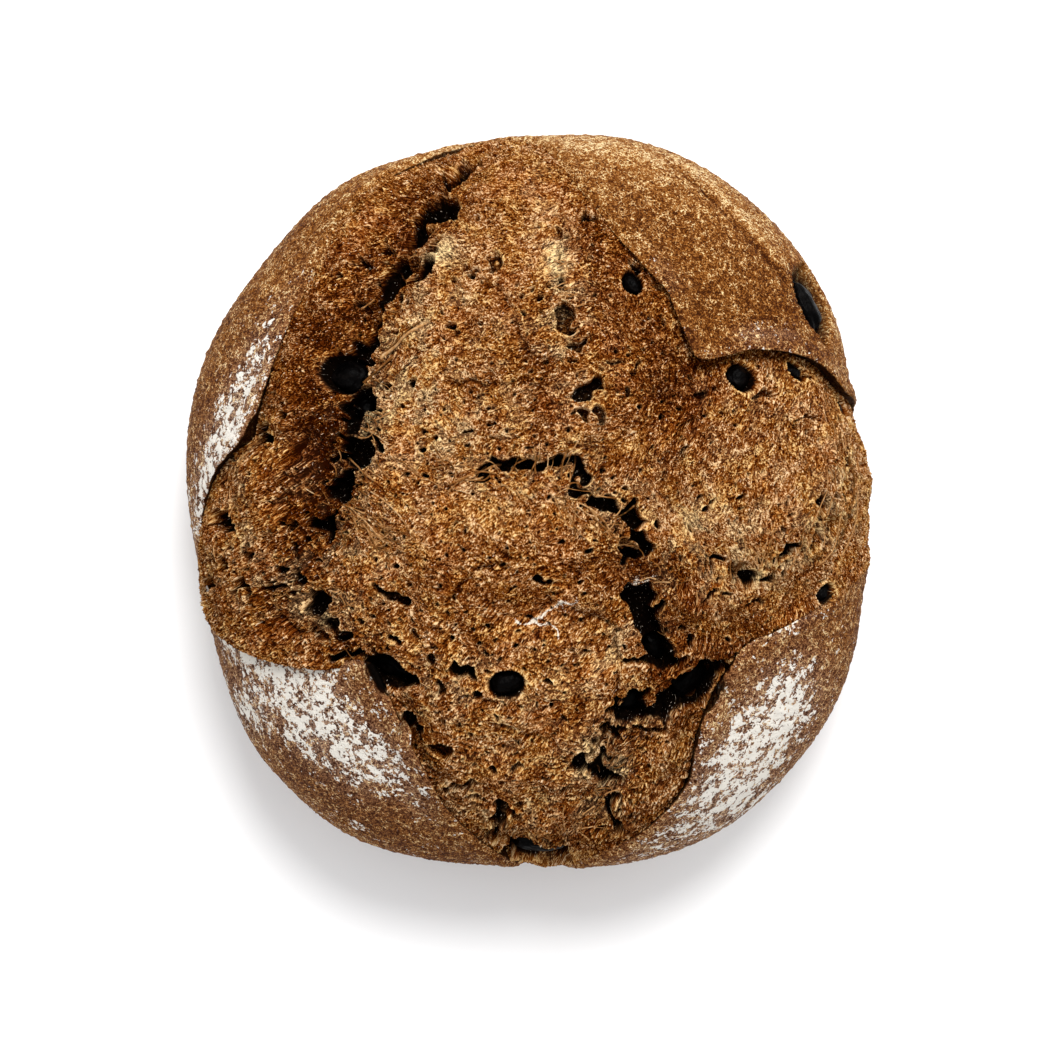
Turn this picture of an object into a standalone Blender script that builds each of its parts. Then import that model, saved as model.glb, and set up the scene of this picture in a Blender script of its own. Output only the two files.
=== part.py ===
"""Olive loaf: a round hearth loaf whose cross-shaped cut has torn wide open and shows pieces of black olive.

The loaf is one solid. Its smooth form is a flattened dome over an uneven round outline. All that stands out of the
dome or sinks into it is a height along its surface: the mounds, crevices and holes of the torn crumb, and the crust's
lips along the tear. Each olive piece is a solid of its own, in a pocket of the loaf that is open to the top.

Lengths are in millimetres. Places are on the plan, seen from above, with +X to the right and +Y to the back.
"""

import math

import bpy
import numpy as np
from mathutils import Vector, noise

MM = 0.001

# The dome
LOAF_HEIGHT = 88.0
WIDEST_HEIGHT = 36.0
DOME_POWER = 2.3
FOOT_POWER = 2.4
FOOT_SPAN = math.radians(50)
FOOT_LENGTH = 45.0
BASE_SHARE = 0.80
OUTLINE_RADII = (
    98.0, 98.0, 104.0, 107.0, 108.6, 109.0, 105.6, 104.8, 106.1, 103.6, 102.6, 101.5,
    98.7, 97.5, 101.9, 108.0, 110.5, 108.6, 106.4, 109.3, 111.3, 109.3, 106.0, 101.0,
)  # every 15 degrees, counter-clockwise from +X
PLAN_SHIFT = (0.05, 0.55)  # stands the loaf centred on the origin

# The tear's edge, clockwise from its back end: place on the plan, how far the crust's lip stands up there, and how far
# the crumb lies below the dome beside it (above it, where it's negative and the crumb swells over the crust)
TEAR_EDGE = (
    (-19, 103, 0.5, 1.0), (2, 103, 0.6, 0.8), (16, 86, 0.8, 0.8), (27, 71, 1.0, 0.8), (39, 57, 1.6, 1.2),
    (45, 44, 1.6, 1.4), (49, 39, 2.2, 2.0), (65, 42, 3.0, 2.4), (81, 39, 2.6, 2.4), (90, 31, 2.0, 1.6),
    (99, 24, 1.0, 0.6), (110, 1, 0.4, -0.6), (107, -26, 0.6, -0.8), (87, -34, 1.2, 0.4), (74, -37, 1.2, 0.6),
    (62, -41, 2.0, 2.6), (54, -53, 3.2, 5.0), (48, -68, 3.2, 4.6), (44, -82, 2.2, 2.4), (32, -95, 1.2, 1.0),
    (18, -103, 0.6, 0.8), (5, -110, 0.6, 1.4), (-7, -104, 0.8, 1.2), (-21, -91, 1.2, 1.0), (-30, -75, 2.2, 2.2),
    (-39, -57, 2.4, 3.6), (-46, -46, 1.0, 1.6), (-58, -46, 0.0, -2.0), (-74, -43, 0.0, -2.2), (-88, -35, 0.0, -1.6),
    (-93, -23, 0.4, -0.4), (-94, -6, 1.0, 0.8), (-89, 7, 1.6, 1.8), (-80, 18, 2.4, 2.8), (-73, 34, 1.6, 1.4),
    (-67, 51, 0.8, 0.8), (-55, 76, 0.6, 0.6), (-41, 92, 0.5, 0.6),
)
EDGE_STEPS = 5
EDGE_BLEND = 0.6
LIP_WIDTH = 5.0
DROP_WIDTH = 7.0

# Broad mounds: place, half length, half width, turn in degrees, height
MOUNDS = (
    (-10, 52, 58, 30, 95, 3.5),
    (-8, -14, 44, 20, 0, 2.5),
    (66, 4, 37, 34, 70, 9.0),
    (0, -66, 38, 34, 90, 4.0),
    (-76, -13, 36, 19, 80, 6.0),
    (33, 60, 34, 17, 120, 2.0),
    (-58, 46, 40, 14, 65, 1.6),
    (44, -31, 8, 4.5, 110, 3.4),
    (54, -37, 15, 8, -15, -3.4),
    (98, -43, 5, 3.5, 70, 2.4),
)

# Unevenness: size and height of the lumps of the whole dome and of the torn crumb
DOME_LUMPS = ((34.0, 0.8),)
CRUMB_LUMPS = ((19.0, 1.6), (9.0, 1.2), (4.5, 0.6))
LUMPS_FROM_EDGE = 4.0
RELIEF_FADE = (3.5, 19.5)  # heights between which the loaf's smooth foot passes into the relief

# Crevices between the lobes: half width, depth, route
CREVICES = (
    (3.4, 9.0, ((-17, 101), (-25, 85), (-37, 64), (-47, 43), (-49, 28), (-51, 17), (-54, 3), (-58, -8))),
    (2.0, 6.0, ((-13, 9), (-4, 9), (6, 12), (15, 8))),
    (2.4, 6.0, ((13, 3), (21, -3), (30, -13), (28, -17))),
    (2.2, 9.0, ((28, -21), (33, -30), (36, -38), (38, -44))),
    (3.4, 8.0, ((20, -82), (17, -69), (29, -59), (38, -56), (48, -54), (57, -46))),
    (3.0, 7.0, ((-56, -45), (-50, -44), (-44, -47), (-38, -53))),
    (1.9, 4.0, ((-78, 18), (-83, 12), (-87, -6), (-86, -17), (-84, -27))),
    (2.4, 4.0, ((91, 0), (83, -7), (74, -16), (58, -21), (52, -27))),
    (2.4, 2.4, ((2, 89), (7, 74), (9, 63), (9, 47), (17, 32), (19, 24))),
    (2.4, 6.0, ((-12, -95), (-5, -100), (5, -102))),
    (6.0, 3.0, ((50, 38), (38, 26), (26, 14), (16, 8))),
    (5.0, 2.6, ((-80, 17), (-66, 15), (-56, 8))),
    (4.0, 2.0, ((-6, -31), (6, -31), (16, -35), (22, -44))),
    (12.0, 4.0, ((-20, 98), (-30, 80), (-42, 60), (-52, 42), (-55, 25), (-58, 8), (-62, -6))),
    (8.0, 3.0, ((28, -21), (36, -38), (38, -52), (30, -70), (20, -86))),
)
CREVICE_RAGGED = 0.45
RAGGED_SIZE = 6.0
ROUTE_STEPS = 4

# Gas holes: place, half length, half width, turn in degrees, depth
HOLES = (
    (-21, 95, 5.5, 2.2, 50, 7.0),
    (-32, 74, 3.4, 2.6, 20, 5.0),
    (-34, 65, 5.0, 2.2, 35, 5.0),
    (-44, 54, 3.0, 2.4, 60, 4.0),
    (-53, 3, 4.2, 3.2, 80, 5.0),
    (-57, -8, 3.8, 2.4, 80, 4.0),
    (-87, -6, 3.6, 1.8, 85, 5.0),
    (-34, -65, 3.4, 2.2, 100, 5.0),
    (-17, -48, 2.2, 2.0, 0, 4.0),
    (9, 10, 3.2, 2.2, 0, 5.0),
    (28, -14, 4.0, 2.4, 130, 5.0),
    (84, -8, 3.4, 2.0, 60, 4.0),
    (58, -21, 3.6, 2.0, 100, 4.0),
    (22, -67, 4.0, 2.6, 60, 5.0),
    (-8, -96, 4.0, 1.8, 160, 4.0),
)

# Olive pieces: place, length, width, thickness, turn in degrees, depth of the middle below the dome's relief
OLIVES = (
    (-53, 36, 13.0, 10.5, 8.0, -20, 5.0),
    (82, 57, 16.0, 7.5, 8.0, 112, 4.2),
    (-40, -49, 12.5, 8.5, 8.0, -38, 3.5),
    (-6, -51, 9.6, 7.4, 7.0, 12, 4.6),
    (38, -44, 8.4, 6.8, 6.0, 100, 3.0),
    (49, -54, 12.5, 8.5, 7.0, 38, 2.5),
    (4, -103, 17.0, 7.5, 8.0, 4, 3.0),
    (60, 34, 8.4, 7.6, 7.0, 60, 4.2),
    (76, 36, 6.4, 5.4, 5.5, -20, 3.4),
    (29, 60, 6.8, 5.0, 5.5, 110, 3.4),
    (-26, 83, 10.0, 8.0, 7.0, 20, 1.5),
    (85, -27, 5.8, 5.0, 5.0, 40, 3.0),
    (-49, 27, 7.0, 6.0, 5.5, 70, 1.5),
    (29, -60, 9.4, 7.2, 6.5, 30, 2.0),
    (92, 26, 7.5, 4.6, 5.0, 108, 2.8),
)
OLIVE_WRINKLE = 0.12
OLIVE_FULLNESS = 0.86  # 1 is an ellipsoid, and less is boxier
POCKET_GAP = 0.35
DENT_MARGIN = 0.4
DENT_DEEPER = 0.8
DENT_WALL = (0.72, 1.12)  # where the dent's wall starts and ends, as shares of the olive's outline
OLIVE_SEGMENTS = 12
OLIVE_RINGS = 7

# How finely the relief is carved, and how many faces the loaf keeps
CARVE_SEGMENTS = 320
CARVE_RINGS = 200
LOAF_FACES = 7600


def catmull_rom(before, start, end, after, share):
    """The smooth curve from start to end, with its neighbours on both sides."""
    slope = end - before
    bend = 2 * before - 5 * start + 4 * end - after
    twist = 3 * (start - end) + after - before
    return 0.5 * (2 * start + slope * share + bend * share**2 + twist * share**3)


def outline_radius(angle):
    place = np.mod(angle / (2 * math.pi), 1.0) * len(OUTLINE_RADII)
    first = np.floor(place).astype(int)
    near = [np.take(OUTLINE_RADII, first + k, mode="wrap") for k in (-1, 0, 1, 2)]
    return catmull_rom(*near, place - first)


def dome_point(angle, polar):
    """Points of the smooth form: polar is 0 at the crown, 90 degrees at the widest outline and 180 under the loaf."""
    radius = outline_radius(angle)
    upper = np.minimum(polar, math.pi / 2)
    foot = np.clip((polar - math.pi / 2) / FOOT_SPAN, 0, 1) * math.pi / 2
    under = np.clip((polar - math.pi / 2 - FOOT_SPAN) / (math.pi / 2 - FOOT_SPAN), 0, 1)
    reach = np.sin(upper) ** (2 / DOME_POWER)
    reach *= BASE_SHARE + (1 - BASE_SHARE) * np.clip(np.cos(foot), 0, 1) ** (2 / FOOT_POWER)
    reach *= 1 - under
    height = WIDEST_HEIGHT * (1 - np.sin(foot)) + (LOAF_HEIGHT - WIDEST_HEIGHT) * np.clip(np.cos(upper), 0, 1)
    return np.stack([radius * reach * np.cos(angle), radius * reach * np.sin(angle), height], axis=-1)


def surface_angles(places):
    """Angle and polar of places on the plan. One beyond the widest outline is that far down the loaf's side."""
    places = np.asarray(places, float)
    angle = np.arctan2(places[:, 1], places[:, 0])
    across = np.hypot(places[:, 0], places[:, 1])
    radius = outline_radius(angle)
    upper = np.arcsin(np.minimum(across / radius, 1) ** (DOME_POWER / 2))
    return angle, upper + np.maximum(across - radius, 0) * FOOT_SPAN / FOOT_LENGTH


def on_dome(places):
    return dome_point(*surface_angles(places))


def unrolled(angle, polar):
    """The surface laid out flat round its crown, to tell what is inside an outline drawn on it."""
    across = outline_radius(angle) * polar / (math.pi / 2)
    return np.stack([across * np.cos(angle), across * np.sin(angle)], axis=-1)


def smooth_closed(points, steps):
    """A closed smooth curve through rows of numbers, with this many points for each row."""
    rows = np.asarray(points, float)
    near = [np.roll(rows, -k, axis=0) for k in (-1, 0, 1, 2)]
    shares = np.arange(steps) / steps
    return np.stack([catmull_rom(*near, share) for share in shares], axis=1).reshape(-1, rows.shape[1])


def line_distance(points, line):
    """Distance from each point to a line through rows of points, and the number of the nearest stretch."""
    best = np.full(len(points), np.inf)
    stretch = np.zeros(len(points), int)
    for number, (start, end) in enumerate(zip(line[:-1], line[1:])):
        along = end - start
        share = np.clip((points - start) @ along / (along @ along), 0, 1)
        away = np.linalg.norm(points - start - share[:, None] * along, axis=1)
        nearer = away < best
        best[nearer] = away[nearer]
        stretch[nearer] = number
    return best, stretch


def inside(points, outline):
    """Which flat points lie inside a closed outline."""
    within = np.zeros(len(points), bool)
    for (x0, y0), (x1, y1) in zip(outline, np.roll(outline, -1, axis=0)):
        spans = (y0 > points[:, 1]) != (y1 > points[:, 1])
        if y0 != y1:
            within ^= spans & (points[:, 0] < x0 + (points[:, 1] - y0) * (x1 - x0) / (y1 - y0))
    return within


def ease(low, high, value):
    """0 below low, 1 above high, and smooth between."""
    share = np.clip((value - low) / (high - low), 0, 1)
    return share * share * (3 - 2 * share)


def lumps(points, size, seed):
    """Smooth noise from -1 to 1 whose lumps are about this size."""
    return np.array([noise.noise(Vector(p / size) + Vector((seed, 0, 0))) for p in points])


def rough(points, rows):
    """Lumps of several sizes, added up."""
    return sum(rise * lumps(points, size, 2 * size) for size, rise in rows)


def ellipse_share(plan, place, turn):
    """How far out each point is in an ellipse of these half axes: 0 in its middle and 1 on its edge."""
    x, y, half_length, half_width = place
    angle = math.radians(turn)
    across, up = plan[:, 0] - x, plan[:, 1] - y
    along = (across * math.cos(angle) + up * math.sin(angle)) / half_length
    aside = (up * math.cos(angle) - across * math.sin(angle)) / half_width
    return np.hypot(along, aside)


def tear_depth(points, flat):
    """Distance from the tear's edge, positive inside it, and the lip and the drop at the nearest edge."""
    edge = smooth_closed(TEAR_EDGE, EDGE_STEPS)
    ring = np.vstack([edge, edge[:1]])
    away, stretch = line_distance(points, on_dome(ring[:, :2]))
    torn = inside(flat, unrolled(*surface_angles(edge[:, :2])))
    return np.where(torn, away, -away), edge[stretch, 2], edge[stretch, 3]


def relief(angle, polar):
    """Height of the loaf's surface above its smooth form."""
    points = dome_point(angle, polar)
    plan = points[:, :2]
    depth, lip, drop = tear_depth(points, unrolled(angle, polar))
    torn = ease(-EDGE_BLEND, EDGE_BLEND, depth)
    height = rough(points, DOME_LUMPS)
    height += (1 - torn) * lip * np.exp(-((depth / LIP_WIDTH) ** 2))
    height -= torn * drop * np.exp(-((depth / DROP_WIDTH) ** 2))
    for x, y, half_length, half_width, turn, rise in MOUNDS:
        share = ellipse_share(plan, (x, y, half_length, half_width), turn)
        height += rise * np.clip(1 - share**2, 0, 1) ** 1.5
    ragged = 1 + CREVICE_RAGGED * lumps(points, RAGGED_SIZE, 11)
    for half_width, deep, route in CREVICES:
        away, _ = line_distance(points, on_dome(smooth_route(route)))
        height -= torn * deep * np.exp(-((away / (half_width * ragged)) ** 2))
    for x, y, half_length, half_width, turn, deep in HOLES:
        share = ellipse_share(plan, (x, y, half_length, half_width), turn)
        height -= deep * np.sqrt(np.clip(1 - share**2, 0, 1))
    height += ease(0, LUMPS_FROM_EDGE, depth) * rough(points, CRUMB_LUMPS)
    return height * ease(*RELIEF_FADE, points[:, 2])


def smooth_route(route):
    """An open smooth curve through a crevice's places."""
    places = np.asarray(route, float)
    rows = np.vstack([2 * places[0] - places[1], places, 2 * places[-1] - places[-2]])
    shares = np.arange(ROUTE_STEPS) / ROUTE_STEPS
    line = [catmull_rom(*rows[k : k + 4], share) for k in range(len(rows) - 3) for share in shares]
    return np.array([*line, places[-1]])


def dome_frame(places):
    """Outward direction of the smooth form at places on the plan."""
    angle, polar = surface_angles(places)
    step = 0.02
    down = dome_point(angle, polar + step) - dome_point(angle, polar - step)
    round_it = dome_point(angle + step, polar) - dome_point(angle - step, polar)
    outward = np.cross(down, round_it)
    return outward / np.linalg.norm(outward, axis=1)[:, None]


def olive_seats():
    """For each olive piece, the point of the relief that it lies under, and the outward direction there."""
    places = [row[:2] for row in OLIVES]
    outward = dome_frame(places)
    return on_dome(places) + outward * relief(*surface_angles(places))[:, None], outward


def olive_dents(points):
    """Depth of the hollows that the olive pieces show through."""
    seats, outward = olive_seats()
    deepest = np.zeros(len(points))
    for (_, _, length, width, thick, turn, sunk), seat, out in zip(OLIVES, seats, outward):
        turned = olive_turn(out, turn)
        local = (points - seat) @ turned
        share = np.hypot(local[:, 0] / (length / 2 + DENT_MARGIN), local[:, 1] / (width / 2 + DENT_MARGIN))
        near = np.abs(local[:, 2]) < 2 * thick
        dent = (sunk + DENT_DEEPER) * (1 - ease(*DENT_WALL, share))
        deepest = np.maximum(deepest, dent * near)
    return deepest


def olive_turn(out, turn):
    """Axes of an olive piece, as columns: its length, its width and its thickness along the outward direction."""
    angle = math.radians(turn)
    along = np.array([math.cos(angle), math.sin(angle), 0.0])
    along -= out * (along @ out)
    along /= np.linalg.norm(along)
    return np.stack([along, np.cross(out, along), out], axis=1)


def coordinates(mesh):
    values = np.empty(len(mesh.vertices) * 3, np.float32)
    mesh.vertices.foreach_get("co", values)
    return values.reshape(-1, 3).astype(float)


def set_coordinates(mesh, points):
    mesh.vertices.foreach_set("co", np.ascontiguousarray(points, np.float32).ravel())
    mesh.update()


def placed(points):
    """Millimetres on the loaf's own plan as metres in the model, standing centred on the origin."""
    return (points + (*PLAN_SHIFT, 0.0)) * MM


def material(name, colour, roughness):
    made = bpy.data.materials.new(name)
    made.use_nodes = True
    shader = made.node_tree.nodes["Principled BSDF"]
    shader.inputs["Base Color"].default_value = (*colour, 1)
    shader.inputs["Roughness"].default_value = roughness
    shader.inputs["Metallic"].default_value = 0.0
    return made


def sphere(name, segments, rings, collection):
    bpy.ops.mesh.primitive_uv_sphere_add(segments=segments, ring_count=rings, radius=1)
    ball = bpy.context.object
    ball.name = ball.data.name = name
    for other in list(ball.users_collection):
        other.objects.unlink(ball)
    collection.objects.link(ball)
    return ball


def loaf_body(collection):
    loaf = sphere("loaf", CARVE_SEGMENTS, CARVE_RINGS, collection)
    ball = coordinates(loaf.data)
    angle = np.arctan2(ball[:, 1], ball[:, 0])
    polar = np.arccos(np.clip(ball[:, 2], -1, 1))
    smooth = dome_point(angle, polar)
    set_coordinates(loaf.data, smooth)
    normals = np.empty(len(smooth) * 3, np.float32)
    loaf.data.vertex_normals.foreach_get("vector", normals)
    carved = smooth + normals.reshape(-1, 3) * relief(angle, polar)[:, None]
    carved -= normals.reshape(-1, 3) * olive_dents(carved)[:, None]
    set_coordinates(loaf.data, placed(carved))
    loaf.data.shade_smooth()
    loaf.data.materials.append(material("baked_crust", (0.33, 0.155, 0.062), 0.75))
    fewer = loaf.modifiers.new("fewer_faces", "DECIMATE")
    fewer.ratio = LOAF_FACES / (2 * CARVE_SEGMENTS * (CARVE_RINGS - 1))
    fewer.use_collapse_triangulate = True
    return loaf


def olive_form(piece, size, turned, middle):
    """Shapes a unit sphere into a shrunken olive piece with three creases along its length."""
    ball = coordinates(piece.data)
    crease = np.sin(3 * np.arctan2(ball[:, 2], ball[:, 1]) + 2 * ball[:, 0])
    creased = 1 - OLIVE_WRINKLE * (1 + crease) / 2
    full = np.sign(ball) * np.abs(ball) ** OLIVE_FULLNESS
    local = full * creased[:, None] * (np.asarray(size) / 2)
    set_coordinates(piece.data, placed(local @ turned.T + middle))


def olives(collection, cutters):
    skin = material("olive_skin", (0.018, 0.012, 0.014), 0.28)
    seats, outward = olive_seats()
    for number, (row, seat, out) in enumerate(zip(OLIVES, seats, outward), start=1):
        _, _, length, width, thick, turn, sunk = row
        turned = olive_turn(out, turn)
        middle = seat - out * sunk
        piece = sphere(f"olive_{number:02d}", OLIVE_SEGMENTS, OLIVE_RINGS, collection)
        olive_form(piece, (length, width, thick), turned, middle)
        piece.data.materials.append(skin)
        piece.data.shade_smooth()
        pocket = sphere(f"pocket_{number:02d}", OLIVE_SEGMENTS, OLIVE_RINGS, cutters)
        grown = [side + 2 * POCKET_GAP for side in (length, width, thick)]
        olive_form(pocket, grown, turned, middle)
        pocket.hide_render = True
        pocket.display_type = "WIRE"


def cut_pockets(loaf, cutters):
    cut = loaf.modifiers.new("olive_pockets", "BOOLEAN")
    cut.operation = "DIFFERENCE"
    cut.operand_type = "COLLECTION"
    cut.collection = cutters
    cut.solver = "EXACT"


def main():
    for old in list(bpy.data.objects):
        bpy.data.objects.remove(old)
    scene = bpy.context.scene
    bread = bpy.data.collections.new("olive_bread")
    cutters = bpy.data.collections.new("cutters")
    scene.collection.children.link(bread)
    scene.collection.children.link(cutters)
    cutters.hide_render = True
    loaf = loaf_body(bread)
    olives(bread, cutters)
    cut_pockets(loaf, cutters)


main()
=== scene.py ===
import math
import random
import time

import bpy
import numpy as np
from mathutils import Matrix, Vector, noise


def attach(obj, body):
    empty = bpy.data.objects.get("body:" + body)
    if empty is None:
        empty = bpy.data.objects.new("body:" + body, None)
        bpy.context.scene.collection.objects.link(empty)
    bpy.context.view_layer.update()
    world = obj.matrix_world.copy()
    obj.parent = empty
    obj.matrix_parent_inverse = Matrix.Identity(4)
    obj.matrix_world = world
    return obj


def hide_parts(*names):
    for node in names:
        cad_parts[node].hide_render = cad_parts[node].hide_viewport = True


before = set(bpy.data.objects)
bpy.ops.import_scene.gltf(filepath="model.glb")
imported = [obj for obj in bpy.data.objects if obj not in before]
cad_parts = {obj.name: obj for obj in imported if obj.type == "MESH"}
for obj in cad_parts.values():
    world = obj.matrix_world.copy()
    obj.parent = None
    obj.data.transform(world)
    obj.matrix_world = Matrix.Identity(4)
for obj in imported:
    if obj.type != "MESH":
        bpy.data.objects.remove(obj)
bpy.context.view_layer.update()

# An olive loaf seen from straight above. Lengths are in millimetres, and a mesh is placed in metres.
# Places on the plan have x to the right and y to the back, as in the photograph.

mm = 0.001
started = time.perf_counter()


def report(stage):
    print(f"{stage}: {time.perf_counter() - started:.1f} s")


# The loaf's form, the same as its solid's.

loaf = {
    "height": 88.0,
    "widestHeight": 36.0,
    "domePower": 2.3,
    "footPower": 2.4,
    "footSpan": math.radians(50),
    "footLength": 45.0,
    "baseShare": 0.80,
    "outline": (
        98.0, 98.0, 104.0, 107.0, 108.6, 109.0, 105.6, 104.8, 106.1, 103.6, 102.6, 101.5,
        98.7, 97.5, 101.9, 108.0, 110.5, 108.6, 106.4, 109.3, 111.3, 109.3, 106.0, 101.0,
    ),  # radius every 15 degrees, from the right and round by the back
    "profileSteps": 700,
    "shift": (0.05, 0.55),  # what centres the loaf on its place
    "fade": (3.5, 19.5),  # heights between which the smooth foot passes into the relief
    "waver": ((34.0, 0.8),),
}

tear = {
    # place, how high the crust's lip stands, how far the crumb lies below the dome
    "edge": (
        (-19, 103, 0.5, 1.0), (2, 103, 0.6, 0.8), (16, 86, 0.8, 0.8), (27, 71, 1.0, 0.8),
        (39, 57, 1.6, 1.2), (45, 44, 1.6, 1.4), (49, 39, 2.2, 2.0), (65, 42, 3.0, 2.4), (81, 39, 2.6, 2.4),
        (90, 31, 2.0, 1.6), (99, 24, 1.0, 0.6), (110, 1, 0.4, -0.6), (104, -14, 0.6, -0.8),
        (93, -22, 0.9, -0.6), (84, -30, 1.2, 0.2), (73, -36, 1.2, 0.6), (62, -41, 2.0, 2.6),
        (54, -53, 3.2, 5.0), (48, -68, 3.2, 4.6), (44, -82, 2.2, 2.4), (32, -95, 1.2, 1.0),
        (18, -103, 0.6, 0.8), (5, -110, 0.6, 1.4), (-7, -104, 0.8, 1.2), (-21, -91, 1.2, 1.0),
        (-30, -75, 2.2, 2.2), (-39, -57, 2.4, 3.6), (-46, -46, 1.0, 1.6), (-58, -46, 0.0, -2.0),
        (-74, -43, 0.0, -2.2), (-88, -35, 0.0, -1.6), (-93, -23, 0.4, -0.4), (-94, -6, 1.0, 0.8),
        (-89, 7, 1.6, 1.8), (-80, 18, 2.4, 2.8), (-73, 34, 1.6, 1.4), (-67, 51, 0.8, 0.8),
        (-55, 76, 0.6, 0.6), (-41, 92, 0.5, 0.6),
    ),
    "edgeSteps": 5,
    "blend": 0.6,
    "lowLip": (0.7, 1.8),  # heights between which the lip parts from the crumb
    "lipWidth": 5.0,
    "dropWidth": 7.0,
    # place, half length, half width, turn in degrees, height
    "mounds": (
        (-10, 52, 58, 30, 95, 3.5), (-8, -14, 44, 20, 0, 2.5), (66, 4, 37, 34, 70, 9.0),
        (0, -66, 38, 34, 90, 4.0), (-76, -13, 36, 19, 80, 6.0), (33, 60, 34, 17, 120, 2.0),
        (-58, 46, 40, 14, 65, 1.6), (44, -31, 8, 4.5, 110, 3.4), (54, -37, 15, 8, -15, -3.4),
        (98, -43, 5, 3.5, 70, 2.4),
    ),
    "moundPower": 1.5,
    "lumps": ((19.0, 1.6), (9.0, 1.2), (4.5, 0.6)),
    "lumpsFromEdge": 4.0,
    # half width, depth, route
    "crevices": (
        (3.4, 9.0, ((-17, 101), (-25, 85), (-37, 64), (-47, 43), (-49, 28), (-51, 17), (-54, 3), (-58, -8))),
        (2.0, 6.0, ((-13, 9), (-4, 9), (6, 12), (15, 8))),
        (2.4, 6.0, ((13, 3), (21, -3), (30, -13), (28, -17))),
        (2.2, 9.0, ((28, -21), (33, -30), (36, -38), (38, -44))),
        (3.4, 8.0, ((20, -82), (17, -69), (29, -59), (38, -56), (48, -54), (57, -46))),
        (3.0, 7.0, ((-56, -45), (-50, -44), (-44, -47), (-38, -53))),
        (1.9, 4.0, ((-78, 18), (-83, 12), (-87, -6), (-86, -17), (-84, -27))),
        (2.4, 4.0, ((91, 0), (83, -7), (74, -16), (58, -21), (52, -27))),
        (2.4, 2.4, ((2, 89), (7, 74), (9, 63), (9, 47), (17, 32), (19, 24))),
        (2.4, 6.0, ((-12, -95), (-5, -100), (5, -102))),
        (6.0, 3.0, ((50, 38), (38, 26), (26, 14), (16, 8))), (5.0, 2.6, ((-80, 17), (-66, 15), (-56, 8))),
        (4.0, 2.0, ((-6, -31), (6, -31), (16, -35), (22, -44))),
        (12.0, 4.0, ((-20, 98), (-30, 80), (-42, 60), (-52, 42), (-55, 25), (-58, 8), (-62, -6))),
        (8.0, 3.0, ((28, -21), (36, -38), (38, -52), (30, -70), (20, -86))),
    ),
    "ragged": 0.45,
    "raggedSize": 6.0,
    "raggedSeed": 11,
    "routeSteps": 4,
    # place, half length, half width, turn in degrees, depth
    "holes": (
        (-21, 95, 5.5, 2.2, 50, 7.0), (-32, 74, 3.4, 2.6, 20, 5.0), (-34, 65, 5.0, 2.2, 35, 5.0),
        (-44, 54, 3.0, 2.4, 60, 4.0), (-53, 3, 4.2, 3.2, 80, 5.0), (-57, -8, 3.8, 2.4, 80, 4.0),
        (-87, -6, 3.6, 1.8, 85, 5.0), (-34, -65, 3.4, 2.2, 100, 5.0), (-17, -48, 2.2, 2.0, 0, 4.0),
        (9, 10, 3.2, 2.2, 0, 5.0), (28, -14, 4.0, 2.4, 130, 5.0), (84, -8, 3.4, 2.0, 60, 4.0),
        (58, -21, 3.6, 2.0, 100, 4.0), (22, -67, 4.0, 2.6, 60, 5.0), (-8, -96, 4.0, 1.8, 160, 4.0),
    ),
}

olive = {
    # place, length, width, thickness, turn in degrees, depth of the middle
    "pieces": (
        (-53, 36, 13.0, 10.5, 8.0, -20, 5.0), (82, 57, 16.0, 7.5, 8.0, 112, 4.2),
        (-40, -49, 12.5, 8.5, 8.0, -38, 3.5), (-6, -51, 9.6, 7.4, 7.0, 12, 4.6),
        (38, -44, 8.4, 6.8, 6.0, 100, 3.0), (49, -54, 12.5, 8.5, 7.0, 38, 2.5),
        (4, -103, 17.0, 7.5, 8.0, 4, 3.0), (60, 34, 8.4, 7.6, 7.0, 60, 4.2),
        (76, 36, 6.4, 5.4, 5.5, -20, 3.4), (29, 60, 6.8, 5.0, 5.5, 110, 3.4),
        (-26, 83, 10.0, 8.0, 7.0, 20, 1.5), (85, -27, 5.8, 5.0, 5.0, 40, 3.0),
        (-49, 27, 7.0, 6.0, 5.5, 70, 1.5), (29, -60, 9.4, 7.2, 6.5, 30, 2.0),
        (92, 26, 7.5, 4.6, 5.0, 108, 2.8),
    ),
    "wrinkle": 0.12,
    "fullness": 0.86,
    "dentMargin": 0.4,
    "dentDeeper": 0.8,
    "dentWall": (0.72, 1.12),
    "dentRim": (1.15, 0.16),  # where the hollow's rim is palest with its painted highlight, and how wide, as shares of the olive's reach
    "segments": 72,
    "rings": 40,
    "folds": 3,
    "foldTwist": 2,
    "dimples": ((0.55, 0.10), (0.25, 0.05)),  # size and depth, as shares of the radius
}


def catmullRom(before, start, end, after, share):
    slope = end - before
    bend = 2 * before - 5 * start + 4 * end - after
    twist = 3 * (start - end) + after - before
    return 0.5 * (2 * start + slope * share + bend * share**2 + twist * share**3)


def outlineRadius(angle):
    place = np.mod(angle / (2 * math.pi), 1.0) * len(loaf["outline"])
    first = np.floor(place).astype(int)
    near = [np.take(loaf["outline"], first + k, mode="wrap") for k in (-1, 0, 1, 2)]
    return catmullRom(*near, place - first)


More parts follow.
